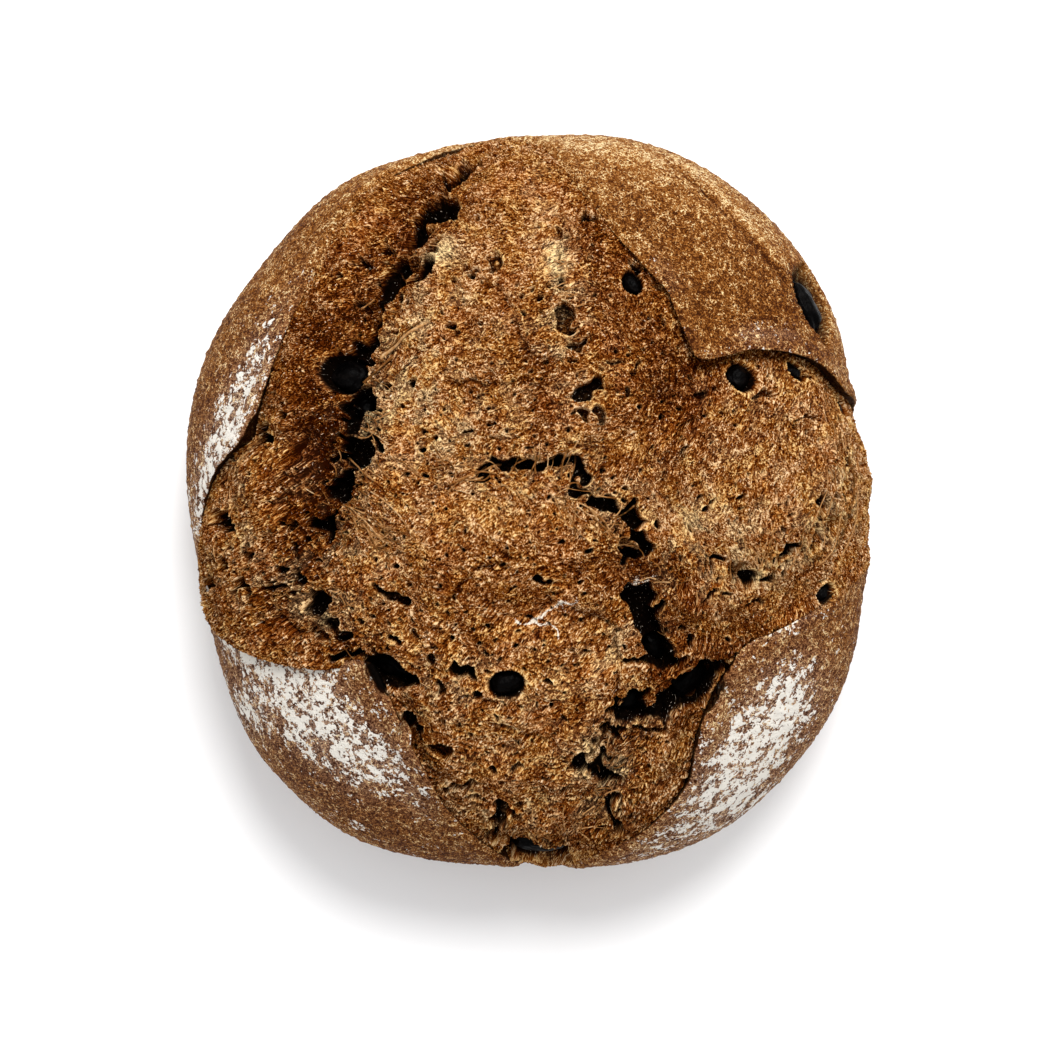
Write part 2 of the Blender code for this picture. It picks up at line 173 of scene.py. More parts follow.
def domePoint(angle, polar):  # polar is 0 at the crown and a right angle at the widest outline
    radius = outlineRadius(angle)
    upper = np.minimum(polar, math.pi / 2)
    foot = np.clip((polar - math.pi / 2) / loaf["footSpan"], 0, 1) * math.pi / 2
    under = np.clip((polar - math.pi / 2 - loaf["footSpan"]) / (math.pi / 2 - loaf["footSpan"]), 0, 1)
    reach = np.sin(upper) ** (2 / loaf["domePower"])
    spread = np.clip(np.cos(foot), 0, 1) ** (2 / loaf["footPower"])
    reach = reach * (loaf["baseShare"] + (1 - loaf["baseShare"]) * spread) * (1 - under)
    rise = (loaf["height"] - loaf["widestHeight"]) * np.clip(np.cos(upper), 0, 1)
    height = loaf["widestHeight"] * (1 - np.sin(foot)) + rise
    return np.stack([radius * reach * np.cos(angle), radius * reach * np.sin(angle), height], axis=-1)


def surfaceAngles(plan):  # a place beyond the widest outline is that far down the loaf's side
    plan = np.asarray(plan, float)
    angle = np.arctan2(plan[:, 1], plan[:, 0])
    across = np.hypot(plan[:, 0], plan[:, 1])
    radius = outlineRadius(angle)
    upper = np.arcsin(np.minimum(across / radius, 1) ** (loaf["domePower"] / 2))
    return angle, upper + np.maximum(across - radius, 0) * loaf["footSpan"] / loaf["footLength"]


def onDome(plan):
    return domePoint(*surfaceAngles(plan))


def outwards(angle, polar):
    step = 0.02
    polar = np.maximum(polar, 1.5 * step)
    down = domePoint(angle, polar + step) - domePoint(angle, polar - step)
    around = domePoint(angle + step, polar) - domePoint(angle - step, polar)
    out = np.cross(down, around)
    return out / np.linalg.norm(out, axis=1)[:, None]


def smoothClosed(rows, steps):
    rows = np.asarray(rows, float)
    near = [np.roll(rows, -k, axis=0) for k in (-1, 0, 1, 2)]
    return np.stack([catmullRom(*near, k / steps) for k in range(steps)], axis=1).reshape(-1, rows.shape[1])


def smoothRoute(route, steps):
    plan = np.asarray(route, float)
    rows = np.vstack([2 * plan[0] - plan[1], plan, 2 * plan[-1] - plan[-2]])
    line = [catmullRom(*rows[k : k + 4], s / steps) for k in range(len(rows) - 3) for s in range(steps)]
    return np.array([*line, plan[-1]])


def lineDistance(points, line, reach=None):  # how far from a line, and which of its stretches is nearest
    best = np.full(len(points), np.inf)
    stretch = np.zeros(len(points), int)
    near = np.arange(len(points))
    if reach is not None:
        near = np.nonzero(((points > line.min(0) - reach) & (points < line.max(0) + reach)).all(1))[0]
    some = points[near]
    found, which = best[near], stretch[near]
    for number, (start, end) in enumerate(zip(line[:-1], line[1:])):
        along = end - start
        share = np.clip((some - start) @ along / (along @ along), 0, 1)
        away = np.linalg.norm(some - start - share[:, None] * along, axis=1)
        closer = away < found
        found[closer] = away[closer]
        which[closer] = number
    best[near], stretch[near] = found, which
    return best, stretch


def ease(low, high, value):  # 0 up to the first value, 1 from the second, and smooth between them
    share = np.clip((value - low) / (high - low), 0, 1)
    return share * share * (3 - 2 * share)


def lumps(points, size, seed):
    return np.array([noise.noise(Vector(p)) for p in (points / size + (seed, 0, 0)).tolist()])


def rough(points, rows):
    return sum(rise * lumps(points, size, 2 * size) for size, rise in rows)


def ellipseShare(plan, x, y, halfLength, halfWidth, turn):  # 0 at the middle and 1 on the outline
    angle = math.radians(turn)
    across, up = plan[:, 0] - x, plan[:, 1] - y
    along = (across * math.cos(angle) + up * math.sin(angle)) / halfLength
    aside = (up * math.cos(angle) - across * math.sin(angle)) / halfWidth
    return np.hypot(along, aside)


# A flat map of the surface: its angle is kept, and its radius is the way over the dome from the crown.
profilePolar = np.linspace(0, math.pi / 2 + loaf["footSpan"], loaf["profileSteps"])
profile = domePoint(np.zeros(len(profilePolar)), profilePolar)
profile[:, 0] *= np.mean(loaf["outline"]) / loaf["outline"][0]
profileArc = np.concatenate([[0], np.cumsum(np.linalg.norm(np.diff(profile, axis=0), axis=1))])


def flatArc(polar):
    return np.interp(polar, profilePolar, profileArc)


def toFlat(angle, polar):
    arc = flatArc(polar)
    return np.stack([arc * np.cos(angle), arc * np.sin(angle)], axis=-1)


def fromFlat(flat):
    arc = np.hypot(flat[:, 0], flat[:, 1])
    return np.arctan2(flat[:, 1], flat[:, 0]), np.interp(arc, profileArc, profilePolar)


edgeRows = smoothClosed(tear["edge"], tear["edgeSteps"])
edgeLine = onDome(np.vstack([edgeRows, edgeRows[:1]])[:, :2])
edgeAngle, edgePolar = surfaceAngles(edgeRows[:, :2])
edgeArc = flatArc(edgePolar)


def aroundTear(values, angle):
    return np.interp(angle, edgeAngle[::-1], values[::-1], period=2 * math.pi)


def edgeReach(flat):  # how far from the crown the tear's edge lies, in the direction of each place
    return aroundTear(edgeArc, np.arctan2(flat[:, 1], flat[:, 0]))


def lowLip(lip):  # 1 where the crust's lip is low and merges with the crumb
    return 1 - ease(*tear["lowLip"], lip)


def tearDepth(points, flat):  # distance from the tear's edge, positive inside, and the lip and the drop there
    away, stretch = lineDistance(points, edgeLine)
    torn = np.hypot(flat[:, 0], flat[:, 1]) < edgeReach(flat)
    return np.where(torn, away, -away), edgeRows[stretch, 2], edgeRows[stretch, 3]


# The height over the dome, the depth of its gaps, and the distance from the tear's edge.
# torn is 1 on the crumb and 0 on the crust. Crevices narrower than finest are left out.
def relief(angle, polar, torn=None, finest=0.0):
    points = domePoint(angle, polar)
    plan = points[:, :2]
    depth, lip, drop = tearDepth(points, toFlat(angle, polar))
    if torn is None:
        torn = ease(-tear["blend"], tear["blend"], depth)
    height = rough(points, loaf["waver"])
    height += (1 - torn) * lip * np.exp(-((depth / tear["lipWidth"]) ** 2))
    height -= torn * drop * np.exp(-((depth / tear["dropWidth"]) ** 2))
    for *place, rise in tear["mounds"]:
        height += rise * np.clip(1 - ellipseShare(plan, *place) ** 2, 0, 1) ** tear["moundPower"]
    gap = np.zeros(len(points))
    if np.any(torn > 0):
        ragged = 1 + tear["ragged"] * lumps(points, tear["raggedSize"], tear["raggedSeed"])
        for halfWidth, deep, route in tear["crevices"]:
            if halfWidth < finest:
                continue
            line = onDome(smoothRoute(route, tear["routeSteps"]))
            away, _ = lineDistance(points, line, 4 * halfWidth)
            gap += torn * deep * np.exp(-((away / (halfWidth * ragged)) ** 2))
        height += ease(0, tear["lumpsFromEdge"], depth) * rough(points, tear["lumps"])
    for *place, deep in tear["holes"]:
        gap += deep * np.sqrt(np.clip(1 - ellipseShare(plan, *place) ** 2, 0, 1))
    low = ease(*loaf["fade"], points[:, 2])
    return (height - gap) * low, gap * low, depth


def oliveTurn(out, turn):
    angle = math.radians(turn)
    along = np.array([math.cos(angle), math.sin(angle), 0.0])
    along -= out * (along @ out)
    along /= np.linalg.norm(along)
    return np.stack([along, np.cross(out, along), out], axis=1)


def oliveSeats():
    angle, polar = surfaceAngles([row[:2] for row in olive["pieces"]])
    out = outwards(angle, polar)
    return domePoint(angle, polar) + out * relief(angle, polar)[0][:, None], out


seats, seatOut = oliveSeats()


def oliveDents(points):  # depth of the hollow round each olive piece, and how near its rim a point is
    deepest = np.zeros(len(points))
    rim = np.zeros(len(points))
    margin = olive["dentMargin"]
    palest, wide = olive["dentRim"]
    for (_, _, length, width, thick, turn, sunk), seat, out in zip(olive["pieces"], seats, seatOut):
        near = np.nonzero(np.abs(points - seat).max(1) < 2 * length)[0]
        local = (points[near] - seat) @ oliveTurn(out, turn)
        share = np.hypot(local[:, 0] / (length / 2 + margin), local[:, 1] / (width / 2 + margin))
        held = np.abs(local[:, 2]) < 2 * thick
        dent = (sunk + olive["dentDeeper"]) * (1 - ease(*olive["dentWall"], share)) * held
        deepest[near] = np.maximum(deepest[near], dent)
        rim[near] = np.maximum(rim[near], np.exp(-(((share - palest) / wide) ** 2)) * held)
    return deepest, rim


# Patterns drawn on the flat map.
pattern = {
    "side": 336.0,
    "cell": 0.2,
    "sharp": 0.3,  # how far the waves of one pattern may differ in size, as a logarithm
    "mixed": 0.4,
    # where the crumb's fibres run: place, reach, direction in degrees
    "grain": (
        (-5, 60, 30, 2), (-5, 35, 26, -4), (-30, 20, 18, -8), (-45, -5, 14, -35), (0, 0, 26, 0),
        (66, 8, 22, 76), (84, -6, 16, 96), (60, -24, 14, 84), (40, 10, 16, 62), (-78, -8, 20, 82),
        (66, 32, 14, 40), (-56, 45, 16, 62), (-64, -36, 16, -15), (-5, -40, 24, 8), (0, -70, 22, -4),
        (36, -64, 18, 52), (24, -90, 14, 70), (36, 52, 20, 118), (12, 75, 12, 60),
    ),
    # size of the waves, how far they are combed, and how strongly they count
    "worms": ((4.6, 2.2, 0.42), (2.5, 1.6, 0.60), (1.45, 1.4, 0.85), (0.95, 1.0, 0.75)),
    "cavities": ((15.0, 4.0), (7.5, 2.4), (3.8, 1.2), (2.1, 0.6)),
    "warps": ((16.0, 1.3), (6.0, 0.6)),  # size of the waves, and how far they push the shapes about
    "wander": ((28.0, 0.30, 71), (9.0, 0.25, 72)),  # size, how far the fibres' direction strays, and seed
    "wanderMix": 0.5,
    "seeds": {"cavities": 20, "worms": 40, "warpX": 60, "warpY": 80, "blisters": 90},
}
cells = int(pattern["side"] / pattern["cell"])
axis = (np.arange(cells) - cells / 2) * pattern["cell"]
across, upwards = np.fft.rfftfreq(cells, pattern["cell"]), np.fft.fftfreq(cells, pattern["cell"])
frequency = np.hypot(*np.meshgrid(across, upwards))


def bandNoise(size, spread, seed):  # waves of about this length, all over the map
    white = np.random.default_rng(seed).standard_normal((cells, cells))
    band = np.exp(-((np.log(np.maximum(frequency, 1e-6) * size) / spread) ** 2))
    made = np.fft.irfft2(np.fft.rfft2(white) * band, s=(cells, cells))
    return (made / made.std()).astype(np.float32)


def sampled(drawn, flat):  # a pattern's values at places of the flat map
    place = np.clip(flat / pattern["cell"] + cells / 2, 0, cells - 1.001)
    first = place.astype(int)
    sx, sy = (place - first).T
    x, y = first.T
    low = drawn[y, x] * (1 - sx) + drawn[y, x + 1] * sx
    high = drawn[y + 1, x] * (1 - sx) + drawn[y + 1, x + 1] * sx
    return low * (1 - sy) + high * sy


def grainField():  # the fibres' direction at each cell, as x and y
    mapX, mapY = np.meshgrid(axis, axis)
    twice = np.zeros((2, cells, cells))
    for x, y, reach, direction in pattern["grain"]:
        flat = toFlat(*surfaceAngles([(x, y)]))[0]
        near = np.exp(-((mapX - flat[0]) ** 2 + (mapY - flat[1]) ** 2) / reach**2)
        angle = 2 * math.radians(direction)
        twice += near * np.array([math.cos(angle), math.sin(angle)])[:, None, None]
    angle = np.arctan2(twice[1], twice[0]) / 2
    for size, far, seed in pattern["wander"]:
        angle = angle + far * bandNoise(size, pattern["wanderMix"], seed)
    return np.cos(angle).astype(np.float32), np.sin(angle).astype(np.float32)


grainX, grainY = grainField()


def combed(drawn, length):  # smears a pattern along the fibres
    steps = max(1, round(length / 2 / pattern["cell"]))
    total = drawn.copy()
    for way in (-1, 1):
        y, x = np.mgrid[0:cells, 0:cells].astype(np.float32)
        for _ in range(steps):
            ix, iy = x.astype(int), y.astype(int)
            x = np.clip(x + way * grainX[iy, ix], 0, cells - 1)
            y = np.clip(y + way * grainY[iy, ix], 0, cells - 1)
            total += drawn[np.rint(y).astype(int), np.rint(x).astype(int)]
    return total / total.std()


def combedWaves(name):
    seed = pattern["seeds"][name]
    rows = enumerate(pattern[name])
    return [combed(bandNoise(size, pattern["sharp"], seed + k), length) for k, (size, length, *_) in rows]


def mixedWaves(size, name, number):
    return bandNoise(size, pattern["mixed"], pattern["seeds"][name] + number)


worms = combedWaves("worms")
cavities = combedWaves("cavities")
warps = [
    (mixedWaves(size, "warpX", number), mixedWaves(size, "warpY", number), far)
    for number, (size, far) in enumerate(pattern["warps"])
]
report("patterns")

crumbLook = {
    "openness": (  # place, half length, half width, turn, how much more open the crumb is
        (66, -14, 30, 12, 20, 0.35), (-76, -12, 26, 16, 80, 0.35), (-40, -20, 26, 12, 20, 0.1),
        (24, -84, 20, 14, 60, 0.6), (30, -62, 18, 12, 50, 0.5), (-32, 72, 26, 8, 60, 0.4),
        (-46, 38, 26, 7, 75, 0.4), (9, 58, 34, 5, 100, 0.5), (-56, 44, 40, 9, 66, -0.5),
        (33, 46, 38, 11, 118, -0.3), (-66, -36, 24, 8, -15, -0.6), (56, -34, 20, 7, 0, -0.6),
        (-14, -54, 20, 12, 20, 0.45), (-14, -92, 12, 8, 0, 0.4), (0, 20, 26, 12, 0, -0.15),
    ),
    "mix": (0.52, 0.68, 0.40, 0.12),  # how the waves of each size count for where the crumb opens
    "opens": 2.05,  # where the holes start, how soft their edge is, and how deep they are
    "soft": 0.55,
    "deep": 5.0,
    "broad": 3.6,  # crevices narrower than this are torn open as gashes instead
    "edgeCloses": 1.2,  # how much less open the crumb is at the tear's edge, and between which distances
    "edgeCalm": (-0.5, 2.5),
    # webs of holes: half width, how much more open, how deep, route
    "gashes": (
        (3.4, 1.0, 6.0, ((-18, 101), (-24, 88), (-33, 76), (-37, 66), (-44, 54), (-48, 43))),
        (2.4, 0.3, 5.0, ((-47, 40), (-47, 30), (-50, 20), (-52, 8), (-57, -8), (-62, -22))),
        (1.3, 3.2, 9.0, ((28, -26), (32, -33), (34, -39), (38, -46))),
        (3.4, 3.0, 9.0, ((40, -60), (45, -56), (50, -52), (54, -47))),
        (3.0, 2.9, 9.0, ((25, -57), (31, -58), (37, -60))),
        (3.0, 1.1, 6.0, ((-12, 9), (-4, 9), (5, 12), (13, 8))),
        (4.0, 1.0, 6.0, ((13, 3), (21, -3), (28, -12), (30, -18))),
        (5.0, 1.2, 7.0, ((21, -58), (30, -60), (40, -56), (49, -53), (54, -47))),
        (6.0, 0.9, 5.0, ((14, -66), (20, -74), (22, -84), (24, -92))),
        (3.4, 1.0, 6.0, ((-56, -45), (-50, -44), (-44, -47), (-36, -55), (-34, -68))),
        (2.0, 2.9, 7.0, ((-12, -101), (-2, -102.5), (8, -103), (16, -101))),
        (3.0, 0.9, 3.6, ((46, 38), (58, 36), (70, 37), (84, 32), (92, 25))),
    ),
    # place, half length, half width, turn, depth
    "hollows": (
        (-21, 94, 6.8, 2.6, 56, 9), (-25, 84, 5.0, 3.9, 30, 9), (-32, 76, 3.8, 2.8, 40, 9),
        (-31, 64, 4.8, 2.2, 25, 8), (-37, 67, 2.8, 1.7, 60, 6), (-40, 59, 5.6, 2.4, 65, 7),
        (-43, 51, 5.0, 2.8, 50, 8), (-47, 43, 3.9, 2.2, 70, 7), (-46.7, 28.8, 2.8, 2.4, 80, 9),
        (-50.5, 24, 3.4, 2.2, 60, 8), (-49.3, 15, 4.6, 2.4, -42, 8), (-44, 15, 2.8, 1.6, -20, 6),
        (-51, 11, 2.4, 1.6, 20, 7), (-54.3, 3.7, 4.4, 3.0, 60, 9), (-58.5, -7.5, 3.2, 2.0, 80, 8),
        (-63, -20, 3.9, 1.4, 70, 5), (-59.5, -29, 4.5, 2.6, -30, 6), (-53.4, -36.4, 3.2, 2.0, 20, 6),
        (-37.5, -27, 3.2, 1.3, -30, 5), (-7, 8, 6.1, 1.1, 2, 6), (0, 9, 3.9, 1.9, -5, 8),
        (6, 11, 3.6, 1.9, 20, 8), (14, 8, 3.6, 1.7, -25, 7), (14, 2, 2.8, 1.4, -30, 6),
        (21, -1, 5.0, 1.4, -30, 6), (28, -5, 4.7, 2.5, -35, 8), (31, -13, 3.3, 2.5, -60, 8),
        (28, -15, 2.5, 1.4, 0, 6), (82, 0, 2.0, 1.4, 50, 6), (87, 8, 4.0, 1.1, 75, 4),
        (31, -28, 3.3, 1.8, -60, 8), (35, -37, 6.1, 2.2, -66, 9), (38, -45, 3.3, 2.5, -60, 9),
        (47.5, -53.5, 8.0, 5.0, 40, 9), (53, -48, 3.4, 2.2, 50, 8), (30, -58, 3.9, 3.1, 30, 8),
        (37, -59, 3.9, 1.7, 10, 6), (20, -67, 3.4, 2.3, 40, 7), (14.5, -73.5, 3.8, 2.8, 70, 7),
        (22, -79, 3.2, 2.3, 20, 6), (24, -91, 4.0, 1.7, 70, 5), (26, -67, 2.2, 1.4, 30, 5),
        (21, -75, 1.7, 1.4, 0, 5), (-49, -44, 6.2, 1.4, -12, 7), (-40, -49, 5.6, 3.3, -35, 8),
        (-34, -65, 2.0, 3.4, 15, 7), (-30, -67, 1.4, 0.8, 10, 4), (-25, -54, 1.4, 1.1, 0, 4),
        (-28, -45, 2.5, 1.7, 40, 4), (-36, -41, 1.7, 1.1, -20, 5), (-30, -39, 1.1, 0.8, 0, 3),
        (-18, -48, 1.9, 2.2, 20, 5), (-8, -44, 1.1, 0.8, 0, 3), (-4, -74, 1.1, 0.8, 0, 3),
        (-25, -70, 2.8, 1.7, -50, 4), (-18, -80, 2.5, 1.7, 30, 4), (-14, -85, 2.3, 1.4, 0, 4),
        (-8, -89, 4.0, 2.6, 80, 6), (-9, -96, 2.8, 1.7, 0, 6), (3, -101.5, 10.5, 3.4, 0, 8),
        (-6, -90, 2.3, 1.1, 80, 4), (-9, 65, 1.4, 0.8, 20, 4), (18, 79, 1.7, 1.1, 0, 5),
        (29, 63, 1.4, 2.0, 20, 5), (9, 58, 1.7, 1.7, 0, 4), (10, 51, 2.5, 1.7, 80, 4),
        (13, 42, 2.5, 1.9, 80, 4), (18, 30, 2.5, 1.4, -40, 5), (19, 24, 1.7, 1.4, 0, 4),
        (7, 74, 2.5, 1.4, 70, 3), (25, 37, 1.4, 1.1, 0, 3), (28, 35, 1.4, 1.1, 0, 3),
        (-77.6, 17.4, 3.8, 1.8, 35, 8), (-85, -6, 3.0, 1.5, 90, 6), (-90, -25, 2.6, 1.7, 85, 4),
        (-81, 0, 1.7, 1.1, 80, 3), (-64, -6, 2.2, 1.4, 80, 4), (-75, -17, 1.4, 1.1, 0, 3),
        (-84, -17, 2.0, 1.1, 85, 4), (-80, -24, 2.0, 1.4, 0, 4), (-69, -25, 1.7, 1.4, 30, 4),
        (-59, -39, 1.4, 0.8, 0, 3), (-55, -36, 1.7, 1.1, 0, 4), (60, 36, 2.0, 1.4, 80, 5),
        (79, 35, 2.5, 1.1, -25, 5), (91, 26, 2.9, 1.4, 65, 5), (91, -6, 2.6, 1.4, 80, 4),
        (66, 28, 2.0, 1.1, -30, 3), (-20, 47, 1.1, 0.8, 0, 3), (-26, 70, 2.2, 1.4, 20, 3),
        (-41, 73, 1.7, 1.1, 30, 4), (-47, 67, 1.7, 1.1, 60, 4), (-49, 56, 1.4, 1.4, 0, 3),
        (38, 50, 1.1, 1.1, 0, 3), (48, 28, 1.1, 0.8, 0, 3), (42, 14, 1.1, 0.8, 0, 3),
        (74, 22, 1.4, 0.8, 30, 3), (80, 14, 1.4, 0.8, 80, 3), (91, 8, 2.0, 1.1, 80, 4),
        (49.5, -19, 2.6, 0.7, 88, 5), (52.4, -20, 3.0, 0.8, 86, 6), (55.6, -20.5, 3.0, 1.0, 88, 6),
        (61, -21.3, 2.2, 1.8, 0, 3), (66, -22, 1.7, 1.1, 10, 5), (70.3, -15.5, 3.2, 2.0, 60, 7),
        (49.5, -26.5, 2.5, 1.1, -10, 5), (55, -28, 1.4, 0.7, 0, 4), (62, -28.5, 1.4, 0.8, 0, 3),
        (73.5, -12, 2.0, 0.8, 75, 5), (79, -9, 3.6, 2.2, 75, 8), (81, -2, 2.6, 2.0, 60, 7),
        (61.5, -19.6, 2.6, 1.8, 20, 6), (58, 0.7, 1.3, 0.9, 15, 5), (-82, 7, 2.3, 1.3, 60, 5),
        (-76, -12.5, 1.0, 0.8, 60, 4), (-75, -19.5, 1.7, 1.5, 60, 5), (-80, -24.5, 2.3, 1.9, 20, 5),
        (-66, -15.5, 0.9, 0.7, 0, 4), (-38, -28, 1.5, 1.0, 0, 4), (-41, -24.5, 1.9, 0.9, -15, 5),
        (-39.5, -21.5, 0.9, 0.7, 0, 4), (20.5, -62, 1.4, 1.1, 60, 4), (14.5, -74, 2.2, 1.4, -60, 5),
        (32, -66, 1.6, 1.0, 50, 5), (9, -81, 1.2, 0.8, 20, 3),
    ),
    "hollowCore": 4.6,
    "hollowFall": 0.67,
    "hollowSize": 1.15,
    "hollowEdge": (0.8, 1.6),
    "calm": 0.8,  # how much smoother the edges of the hollows are
    "calmEdge": (1.0, 1.8),
    # folds: half width, depth, how much darker as painted shade in the fold, route
    "creases": (
        (0.9, 1.4, 0.22, ((-22, -27), (-17, -23), (-12, -19), (-7, -16))),
        (0.9, 1.2, 0.16, ((-14, -36), (-4, -33), (6, -27), (14, -20))),
        (1.0, 1.4, 0.18, ((-8, -62), (-2, -66), (6, -66), (10, -62))),
        (0.8, 1.0, 0.14, ((-16, -60), (-8, -56), (2, -56), (8, -60))),
        (1.2, 1.8, 0.20, ((12, -30), (20, -36), (24, -46), (24, -56))),
        (1.0, 1.6, 0.18, ((39, -1), (39, 10), (44, 22), (52, 30))),
        (1.0, 1.4, 0.16, ((40, 57), (43, 48), (46, 40))),
        (1.1, 1.4, 0.18, ((-20, 66), (-12, 60), (-4, 50), (0, 38))),
        (0.9, 1.2, 0.16, ((-26, 34), (-16, 31), (-6, 33), (4, 30))),
        (1.0, 1.5, 0.18, ((82, -26), (88, -14), (89, 0), (86, 14), (80, 26))),
        (0.9, 1.2, 0.16, ((76, -24), (82, -12), (83, 2), (79, 14))),
        (1.0, 1.4, 0.18, ((-66, -10), (-68, 2), (-66, 14), (-60, 24))),
        (1.0, 1.4, 0.18, ((-74, -32), (-66, -36), (-58, -37), (-50, -42))),
        (1.0, 1.4, 0.18, ((20, 86), (26, 76), (31, 66), (36, 58))),
    ),
    # grey films over open cells: place, half length, half width, turn, how much
    "films": (
        (17, -70, 8, 4, 75, 0.6), (24, -78, 7, 4, 70, 0.5), (61, -21, 3, 2, 0, 0.9),
        (-44, 22, 12, 4, 80, 0.6), (8, 66, 5, 3.4, 90, 1.0), (-24, 68.5, 5, 3.4, 10, 1.0),
        (-58, -33, 6, 3, -25, 0.6), (46, -7, 4, 3, 30, 0.5), (22, -2, 5, 3, -30, 0.5),
    ),
    # white dust: half width, how dense, route
    "dusting": (
        (0.5, 0.8, ((-2, -33), (4, -31.5), (9, -29), (12.5, -27))),
        (0.45, 0.75, ((-1, -33), (4, -35), (8, -37.5))), (0.6, 0.5, ((7, -30), (9, -33), (12, -33))),
        (0.8, 0.45, ((31, -24), (33, -25), (36, -25))),
    ),
    "lineWidths": (0.42, 0.55),  # the thin ridges run where these waves cross nought
    "lineHeights": (0.30, 0.22),
    "blobs": 0.13,
    # zones torn into fine webs: place, half length, half width, turn, how open
    "webbed": (
        (-48, 22, 18, 7, 78, 1.35), (-52, -2, 14, 6, 70, 1.25), (-36, 66, 22, 4.5, 57, 1.1),
        (-22, 88, 14, 5, 56, 1.1), (9, 60, 26, 3.5, 100, 0.9), (6, 9, 14, 4, 0, 0.9),
        (22, -4, 14, 4, -45, 1.0), (34, -56, 13, 6, 30, 1.2), (20, -74, 11, 6, 70, 1.15),
        (26, -88, 9, 5, 60, 1.1), (-10, -88, 10, 6, 60, 1.0), (2, -98, 16, 5, 0, 1.1),
        (-42, -46, 13, 4, -20, 1.0), (-32, -64, 9, 5, 100, 0.95), (60, -20, 14, 5, 15, 0.95),
        (76, -12, 8, 5, 50, 0.9), (84, -2, 9, 3, 70, 0.9), (-82, -2, 15, 5, 80, 0.8),
        (-77, -20, 9, 6, 0, 0.95), (-60, -29, 13, 7, -20, 1.05), (45, -38, 8, 4, -30, 0.8),
        (66, 35, 12, 3, 0, 0.7),
    ),
    "webHoles": (0.75, 0.6, 1.75, 0.4, 4.0),  # the finest patterns' weights, where they open, softness, depth
    "pinholes": ((1.75, 0.5, 2.4), (1.95, 0.5, 1.6)),  # where they open, softness, depth
    "looseWhere": (-0.6, 0.4),  # how open the crumb is where the pinholes begin, and where all show
    "rimLevels": (0.6, 0.1, 0.3),  # a rim starts, is whole, and ends this far before and past the hole's edge
    "rimHeight": 0.3,
    "webRim": 0.8,
    "pinholeRim": 0.7,
    "blackAt": (6.0, 3.0),  # the depths at which a hole and an olive's hollow are painted quite dark, as painted shade
    # place, half length, half width, turn, how much paler than the middle tone
    "tones": (
        (-28, 21, 17, 14, 0, 0.13), (-26, 52, 26, 9, 65, 0.06), (9, 3, 18, 7, 0, 0.08),
        (23, -45, 10, 9, 0, 0.14), (42, -8, 13, 9, 20, 0.14), (52, -31, 16, 6, 10, 0.12),
        (4, -31, 13, 4, 15, 0.05), (-11, -5, 18, 9, 0, 0.05), (37, -17, 8, 5, 0, -0.12),
        (58, -34, 20, 8, -5, -0.14), (-57, 46, 42, 11, 66, -0.08), (-28, 92, 13, 9, 30, -0.05),
        (33, 44, 40, 12, 118, -0.12), (20, 75, 16, 8, 120, -0.06), (-71, -36, 24, 8, -18, -0.12),
        (-20, -80, 11, 13, 0, -0.03), (2, 36, 17, 12, 0, -0.05), (84, 14, 18, 14, 0, 0.03),
        (64, 8, 24, 20, 0, 0.06), (0, 70, 18, 16, 0, 0.04), (-76, -8, 16, 12, 80, -0.03),
        (50, 14, 12, 10, 0, 0.02),
        # the dark valleys: painted shade along the crumb's valleys and chasms; the few paler rows among them
        # are the crumb's own paler tone
        (-55, 18, 22, 10, 76, -0.46), (-56, -4, 16, 8, 68, -0.34), (-39, 62, 20, 6, 58, -0.32),
        (-62, 8, 22, 8, 80, -0.16), (47, -40, 12, 8, -30, -0.13), (36, -20, 13, 6, -20, -0.20),
        (-43, 24, 14, 4, 80, -0.12), (64, 8, 34, 26, 60, -0.04), (-60, 52, 28, 10, 64, -0.14),
        (32, 50, 34, 12, 112, -0.11), (-6, -24, 30, 10, 0, -0.05), (-6, 38, 20, 12, 0, -0.07),
        (10, 52, 14, 7, 100, -0.10), (-24, 68.5, 4.5, 3.2, 10, 0.30), (8, 66, 3.4, 6, 90, 0.22),
        (-66, 0, 20, 12, 80, 0.11), (-26, 87, 16, 7, 55, -0.26), (-60, -28, 14, 8, -30, -0.28),
        (-42, -47, 14, 6, -25, -0.26), (35, -36, 15, 6, -65, -0.30), (46, -54, 16, 9, 25, -0.36),
        (27, -60, 12, 6, 20, -0.24), (22, -82, 16, 9, 70, -0.20), (0, -97, 26, 6, 0, -0.26),
        (-32, -66, 14, 5, 100, -0.18), (24, -8, 18, 5, -45, -0.20), (66, -20, 22, 5, 22, -0.04),
        (-85, -4, 24, 4, 85, -0.14), (-68, -14, 18, 6, 70, -0.10), (2, 8, 18, 3.5, 0, -0.16),
        (62, 37, 20, 4, 0, -0.16), (44, 26, 20, 8, 60, -0.10), (4, -52, 12, 10, 0, -0.05),
    ),
    "valleyShade": 0.02,  # painted shade: how much darker the crumb is for each millimetre of a crevice
    # where pale webs show: place, half length, half width, turn, how much
    "webs": (
        (-28, 20, 20, 15, 0, 1.0), (-30, 50, 22, 12, 65, 0.9), (9, 58, 30, 7, 100, 0.9),
        (8, 3, 22, 10, -10, 1.0), (24, -42, 12, 10, 0, 0.9), (42, -10, 16, 9, 20, 0.9),
        (66, -16, 28, 9, 20, 1.0), (-78, -10, 24, 14, 80, 0.7), (22, -78, 18, 11, 60, 1.0),
        (-10, -92, 20, 8, 0, 0.8), (-48, -16, 16, 12, 0, 0.7), (-22, -52, 18, 10, 0, 0.6),
        (88, 4, 20, 8, 75, 0.8), (-58, -30, 14, 8, -20, 0.9), (0, 40, 22, 16, 0, 0.45),
        (60, 10, 22, 18, 0, 0.4), (0, -60, 30, 20, 0, 0.4), (64, 30, 16, 6, 0, 0.5),
        (-50, 10, 26, 8, 78, 0.8),
    ),
    # place, half length, half width, turn, how much livelier the contrast is
    "lively": (
        (-28, 21, 20, 14, 0, 0.2), (23, -45, 10, 9, 0, 0.2),
